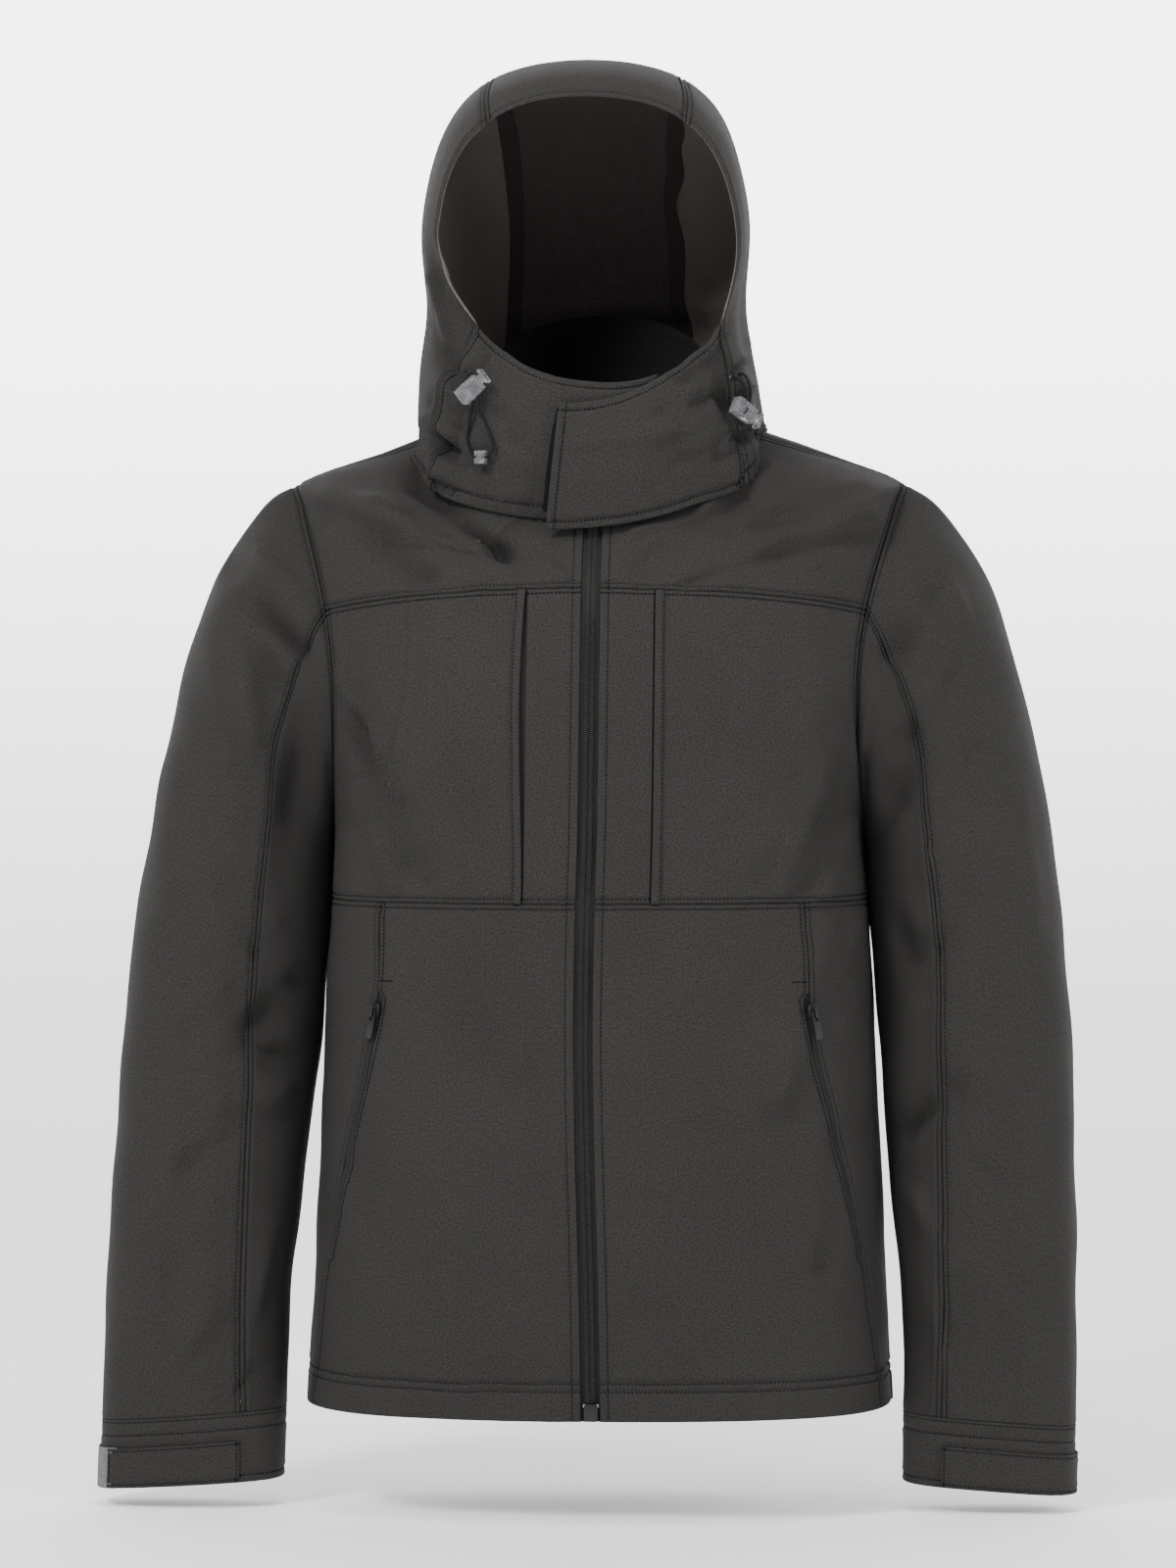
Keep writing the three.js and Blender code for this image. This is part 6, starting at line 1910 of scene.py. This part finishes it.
@dataclass
class PocketZips:
    """The two hand pockets' zips beside the pocket seams."""

    form: BodyForm
    shop: Workshop
    pitch: float = 1.5

    def build(self) -> None:
        """Builds both."""
        for side, name in ((1, "left"), (-1, "right")):
            self._zip(side, name)

    def _zip(self, side: int, name: str) -> None:
        """A tape with its closed coil."""
        form = self.form

        def spot(s: Array, t: Array) -> Array:
            """Across the opening between the front and the side panel."""
            v = mix(form.pocket_low, form.pocket_high, t)
            end = form.pocket.read(v)["angle"]
            wide = np.degrees(form.pocket_wide / (form.sections.read(v)["half"] * 0.85))
            return form.point(side * mix(end - wide * 1.3, end + wide * 0.3, s), v)

        tape = Panel("tape", spot, *(Sewn.TAPE.value,) * 4, flip=side < 0, lift=-1.9, thickness=0.6, step=2.5)
        piece = join_panels(f"pocket_zip_tape_{name}", [tape])
        declare(self.shop, piece, f"pocket_zip_tape_{name}", (TAPE_CLOTH, TAPE_CLOTH), "zip_tape")
        line = tape.trace([(0.5, 0.0), (0.5, 0.93)], 120).raised(0.75)
        long = lengths_along(line.points, 0)[-1]
        marks = np.arange(0.8, long - 0.8, self.pitch)
        piece = coil(f"pocket_coils_{name}", line, marks, self.pitch, 0.95, (2.5, 1.15, 1.5))
        self.shop.dress(piece, "zip_tape", (COIL,), [f"pocket_coil_{name}"])


def block(size: Sequence[float], middle: Sequence[float]) -> bpy.types.Object:
    """Starts a hard piece as a block in edit mode, in millimetres."""
    bpy.ops.object.select_all(action="DESELECT")
    bpy.ops.mesh.primitive_cube_add(size=1)
    piece = bpy.context.active_object
    bpy.ops.object.mode_set(mode="EDIT")
    bpy.ops.transform.resize(value=[n * MM for n in size])
    bpy.ops.transform.translate(value=[n * MM for n in middle])
    return piece


def pick(piece: bpy.types.Object, test: Callable[[Vector, Vector], bool]) -> None:
    """Selects the faces of a piece in edit mode whose middle (in millimetres) and direction pass a test."""
    bpy.ops.mesh.select_mode(type="FACE")
    bpy.ops.mesh.select_all(action="DESELECT")
    bpy.ops.object.mode_set(mode="OBJECT")
    for face in piece.data.polygons:
        face.select = test(face.center / MM, face.normal)
    bpy.ops.object.mode_set(mode="EDIT")


def cut_across(axis: int, places: Sequence[float]) -> None:
    """Cuts the piece in edit mode at planes across an axis."""
    for place in places:
        spot, facing = [0.0] * 3, [0.0] * 3
        spot[axis], facing[axis] = place * MM, 1.0
        bpy.ops.mesh.select_all(action="SELECT")
        bpy.ops.mesh.bisect(plane_co=spot, plane_no=facing)


def finish_block(
    piece: bpy.types.Object, name: str, width: float, place: Optional[Matrix] = None
) -> bpy.types.Object:
    """Rounds a piece's edges, names it and sets it in its place.

    Args:
        piece: the piece, in edit or object mode.
        name: its name.
        width: how wide the rounding is, in millimetres.
        place: where it goes, if it isn't modelled in its place.

    Returns:
        The finished piece.
    """
    if bpy.context.mode != "OBJECT":
        bpy.ops.object.mode_set(mode="OBJECT")
    piece.name = name
    bevel = piece.modifiers.new("rounding", "BEVEL")
    bevel.width, bevel.segments = width * MM, 3
    bevel.limit_method, bevel.angle_limit = "ANGLE", math.radians(35)
    bpy.ops.object.modifier_apply(modifier=bevel.name)
    bpy.ops.object.shade_smooth_by_angle(angle=math.radians(40))
    if place:
        piece.data.transform(place)
    return piece


@dataclass
class CordLock:
    """A clear cord lock: a slotted body with finger ribs, and the button that opens it."""

    name: str
    origin: tuple[float, float, float]
    across: tuple[float, float, float]
    along: tuple[float, float, float]
    out: tuple[float, float, float]
    size: tuple[float, float, float] = (12.0, 19.0, 8.0)
    ribs: tuple[float, ...] = (-8.3, -7.5, -6.5, -5.7, -4.7, -3.9)
    slot_depth: float = 3.0
    rounding: float = 0.75

    def place(self) -> Matrix:
        """Where the lock lies."""
        turn = Matrix((self.across, self.along, self.out)).transposed().to_4x4()
        return Matrix.Translation([n * MM for n in self.origin]) @ turn

    def body(self) -> bpy.types.Object:
        """The body with its slot for the cord and three grooves round its end."""
        _, long, deep = self.size
        piece = block(self.size, (0, 0, deep / 2))
        cut_across(1, (*self.ribs, -2.6))
        for low, high in zip(self.ribs[::2], self.ribs[1::2]):
            pick(piece, lambda at, n, low=low, high=high: abs(n.y) < 0.5 and low < at.y < high)
            bpy.ops.mesh.inset(thickness=0.05 * MM, depth=-0.55 * MM)
        pick(piece, lambda at, n: n.z > 0.9 and at.y > -2.6)
        bpy.ops.mesh.inset(thickness=2.7 * MM, depth=-self.slot_depth * MM)
        pick(piece, lambda at, n: n.y > 0.9 and at.y > long / 2 - 0.1)
        bpy.ops.transform.resize(value=(0.9, 1, 0.92))
        bpy.ops.mesh.inset(thickness=1.5 * MM, depth=-1.2 * MM)
        pick(piece, lambda at, n: n.y < -0.9 and at.y < 0.1 - long / 2)
        bpy.ops.transform.resize(value=(0.94, 1, 0.85))
        return finish_block(piece, f"cord_lock_body_{self.name}", self.rounding, self.place())

    def button(self) -> bpy.types.Object:
        """The button: a stem with a wide thin cap."""
        deep = self.size[2]
        piece = block((5.4, 4.2, 3.6), (0, 11.3, deep / 2))
        pick(piece, lambda at, n: n.y > 0.9)
        bpy.ops.mesh.extrude_region_move(TRANSFORM_OT_translate={"value": (0, 0.02 * MM, 0)})
        bpy.ops.transform.resize(value=(2.1, 1, 1.75))
        bpy.ops.mesh.extrude_region_move(TRANSFORM_OT_translate={"value": (0, 2.5 * MM, 0)})
        bpy.ops.mesh.inset(thickness=1.1 * MM, depth=-0.4 * MM)
        return finish_block(piece, f"cord_lock_button_{self.name}", 0.45, self.place())


@dataclass
class Bead:
    """The clear bead in the cord's loop: a short barrel with a waist and a hole."""

    middle: tuple[float, float, float] = (-77.89, -99.38, -24.96)
    radius: float = 4.6
    height: float = 9.6
    waist: float = 0.8

    def build(self) -> bpy.types.Object:
        """Models the bead."""
        bpy.ops.object.select_all(action="DESELECT")
        bpy.ops.mesh.primitive_cylinder_add(vertices=28, radius=self.radius * MM, depth=self.height * MM)
        piece = bpy.context.active_object
        bpy.ops.object.mode_set(mode="EDIT")
        cut_across(2, (-self.waist, self.waist))
        pick(piece, lambda at, n: abs(n.z) < 0.5 and abs(at.z) < self.waist)
        bpy.ops.mesh.inset(thickness=0.05 * MM, depth=-1.1 * MM)
        for side in (1, -1):
            pick(piece, lambda at, n, side=side: n.z * side > 0.9 and abs(at.z) > 4)
            bpy.ops.mesh.inset(thickness=2.0 * MM, depth=-2.4 * MM)
        return finish_block(piece, "cord_bead_barrel", 0.8, Matrix.Translation([n * MM for n in self.middle]))


@dataclass
class Cords:
    """The two elastic loops of the hood."""

    shop: Workshop
    radius: float = 1.1
    right: tuple = (
        (-0.08337, -0.09848, 0.01476), (-0.08489, -0.09697, 0.00782), (-0.08655, -0.09343, -0.00178),
        (-0.08772, -0.09208, -0.01075), (-0.08659, -0.09311, -0.01767), (-0.08346, -0.09595, -0.02332),
        (-0.07784, -0.09918, -0.02556), (-0.07191, -0.10103, -0.02385), (-0.06939, -0.10064, -0.01769),
        (-0.07186, -0.09900, -0.00876), (-0.07619, -0.09795, 0.00153), (-0.07958, -0.09926, 0.00909),
        (-0.07966, -0.10012, 0.01738),
    )
    left: tuple = (
        (0.09645, -0.07633, 0.03135), (0.09885, -0.07873, 0.03147), (0.10631, -0.07645, 0.01811),
        (0.10483, -0.07806, 0.01361), (0.10322, -0.07978, 0.00920), (0.10361, -0.07965, 0.00629),
        (0.10554, -0.07786, 0.00761), (0.10715, -0.07614, 0.01201), (0.10889, -0.07430, 0.01633),
        (0.10335, -0.07380, 0.03432), (0.10058, -0.07184, 0.03406),
    )

    def build(self) -> None:
        """Builds both loops."""
        for name, route in (("right", self.right), ("left", self.left)):
            piece, path = tube(f"cord_loop_{name}", np.array(route) / MM, self.radius)
            self.shop.dress(piece, "elastic_cord", (ELASTIC,), [f"cord_loop_{name}"])
            long = float(lengths_along(path, 0)[-1]) * MM
            beads = []
            if name == "right":
                beads = [self.shop.dress(Bead().build(), "clear_plastic", (CLEAR,), ["cord_bead_right"])]


@dataclass
class Hardware:
    """The hard pieces: sliders, pulls, the zip's box and stops, cord locks and eyelets."""

    shop: Workshop
    locks: tuple[CordLock, ...] = (
        CordLock("right", (-83.892, -94.060, 22.043), (0.5751, -0.2561, -0.7769), (0.6948, -0.3485, 0.6292),
                 (-0.4319, -0.9016, -0.0225)),
        CordLock("left", (101.745, -75.816, 8.193), (-0.3223, -0.3445, -0.8817), (0.6801, 0.5637, -0.4688),
                 (0.6585, -0.7507, 0.0526)),
    )

    def soften(self, node: str, width: float) -> bpy.types.Object:
        """A copy of a hard CAD piece with its edges rounded.

        Args:
            node: the piece.
            width: how wide the rounding is, in millimetres.

        Returns:
            The copy.
        """
        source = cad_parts[node]
        piece = bpy.data.objects.new(node, source.data.copy())
        bpy.context.scene.collection.objects.link(piece)
        bpy.ops.object.select_all(action="DESELECT")
        piece.select_set(True)
        bpy.context.view_layer.objects.active = piece
        bpy.ops.object.mode_set(mode="EDIT")
        bpy.ops.mesh.select_all(action="SELECT")
        bpy.ops.mesh.remove_doubles(threshold=0.00002)
        bpy.ops.mesh.dissolve_limited(angle_limit=math.radians(2))
        return finish_block(piece, f"{node}_rounded", width)

    def build(self) -> None:
        """Builds and dresses every hard piece."""
        shop, black = self.shop, "black_hardware"
        for base, body in (("zip", "zip_pull_tab"), ("pocket_left", "pocket_pull_left"),
                           ("pocket_right", "pocket_pull_right")):
            shop.dress(self.soften(f"{base}_slider", 0.3), black, (BLACK,), [f"{base}_slider"])
            shop.dress(self.soften(f"{base}_pull", 0.3), black, (BLACK,), [f"{base}_pull"], body)
        shop.dress(self.soften("zip_bottom_box", 0.5), black, (BLACK,), ["zip_bottom_box"])
        for side, name in ((-1, "right"), (1, "left")):
            stop = block((1.5, 1.6, 2.6), (4.6 * side, -123.9, -680.4))
            pick(stop, lambda at, n: n.y < -0.9)
            bpy.ops.mesh.inset(thickness=0.3 * MM, depth=0.25 * MM)
            shop.dress(finish_block(stop, f"zip_stop_{name}", 0.25), black, (SILVER,))
        for lock in self.locks:
            shop.dress(lock.body(), "clear_plastic", (CLEAR,), [f"cord_lock_{lock.name}"])
            shop.dress(lock.button(), "clear_plastic", (CLEAR,), [f"cord_button_{lock.name}"])
        for node in ("cord_eyelet_right", "cord_eyelet_left_1", "cord_eyelet_left_2"):
            shop.carry(node, BLACK)


def main() -> None:
    """Builds the studio and the jacket in order."""
    logging.basicConfig(level=logging.INFO, format="%(message)s")
    studio = Studio()
    studio.place_camera()
    shop = Workshop()
    Cords(shop).build()
    studio.light()
    studio.lay_floor()
    body = BodyForm()
    sewing = Sewing()
    Trunk(body, sewing, shop).build()
    Sleeves(SleeveForm(body), sewing, shop).build()
    Hood(HoodForm(body), sewing, shop).build()
    FrontZip(body, shop).build()
    PocketZips(body, shop).build()
    Hardware(shop).build()
    for piece in sewing.build():
        shop.dress(piece, "softshell", (THREAD,))


if __name__ == "__main__":
    main()
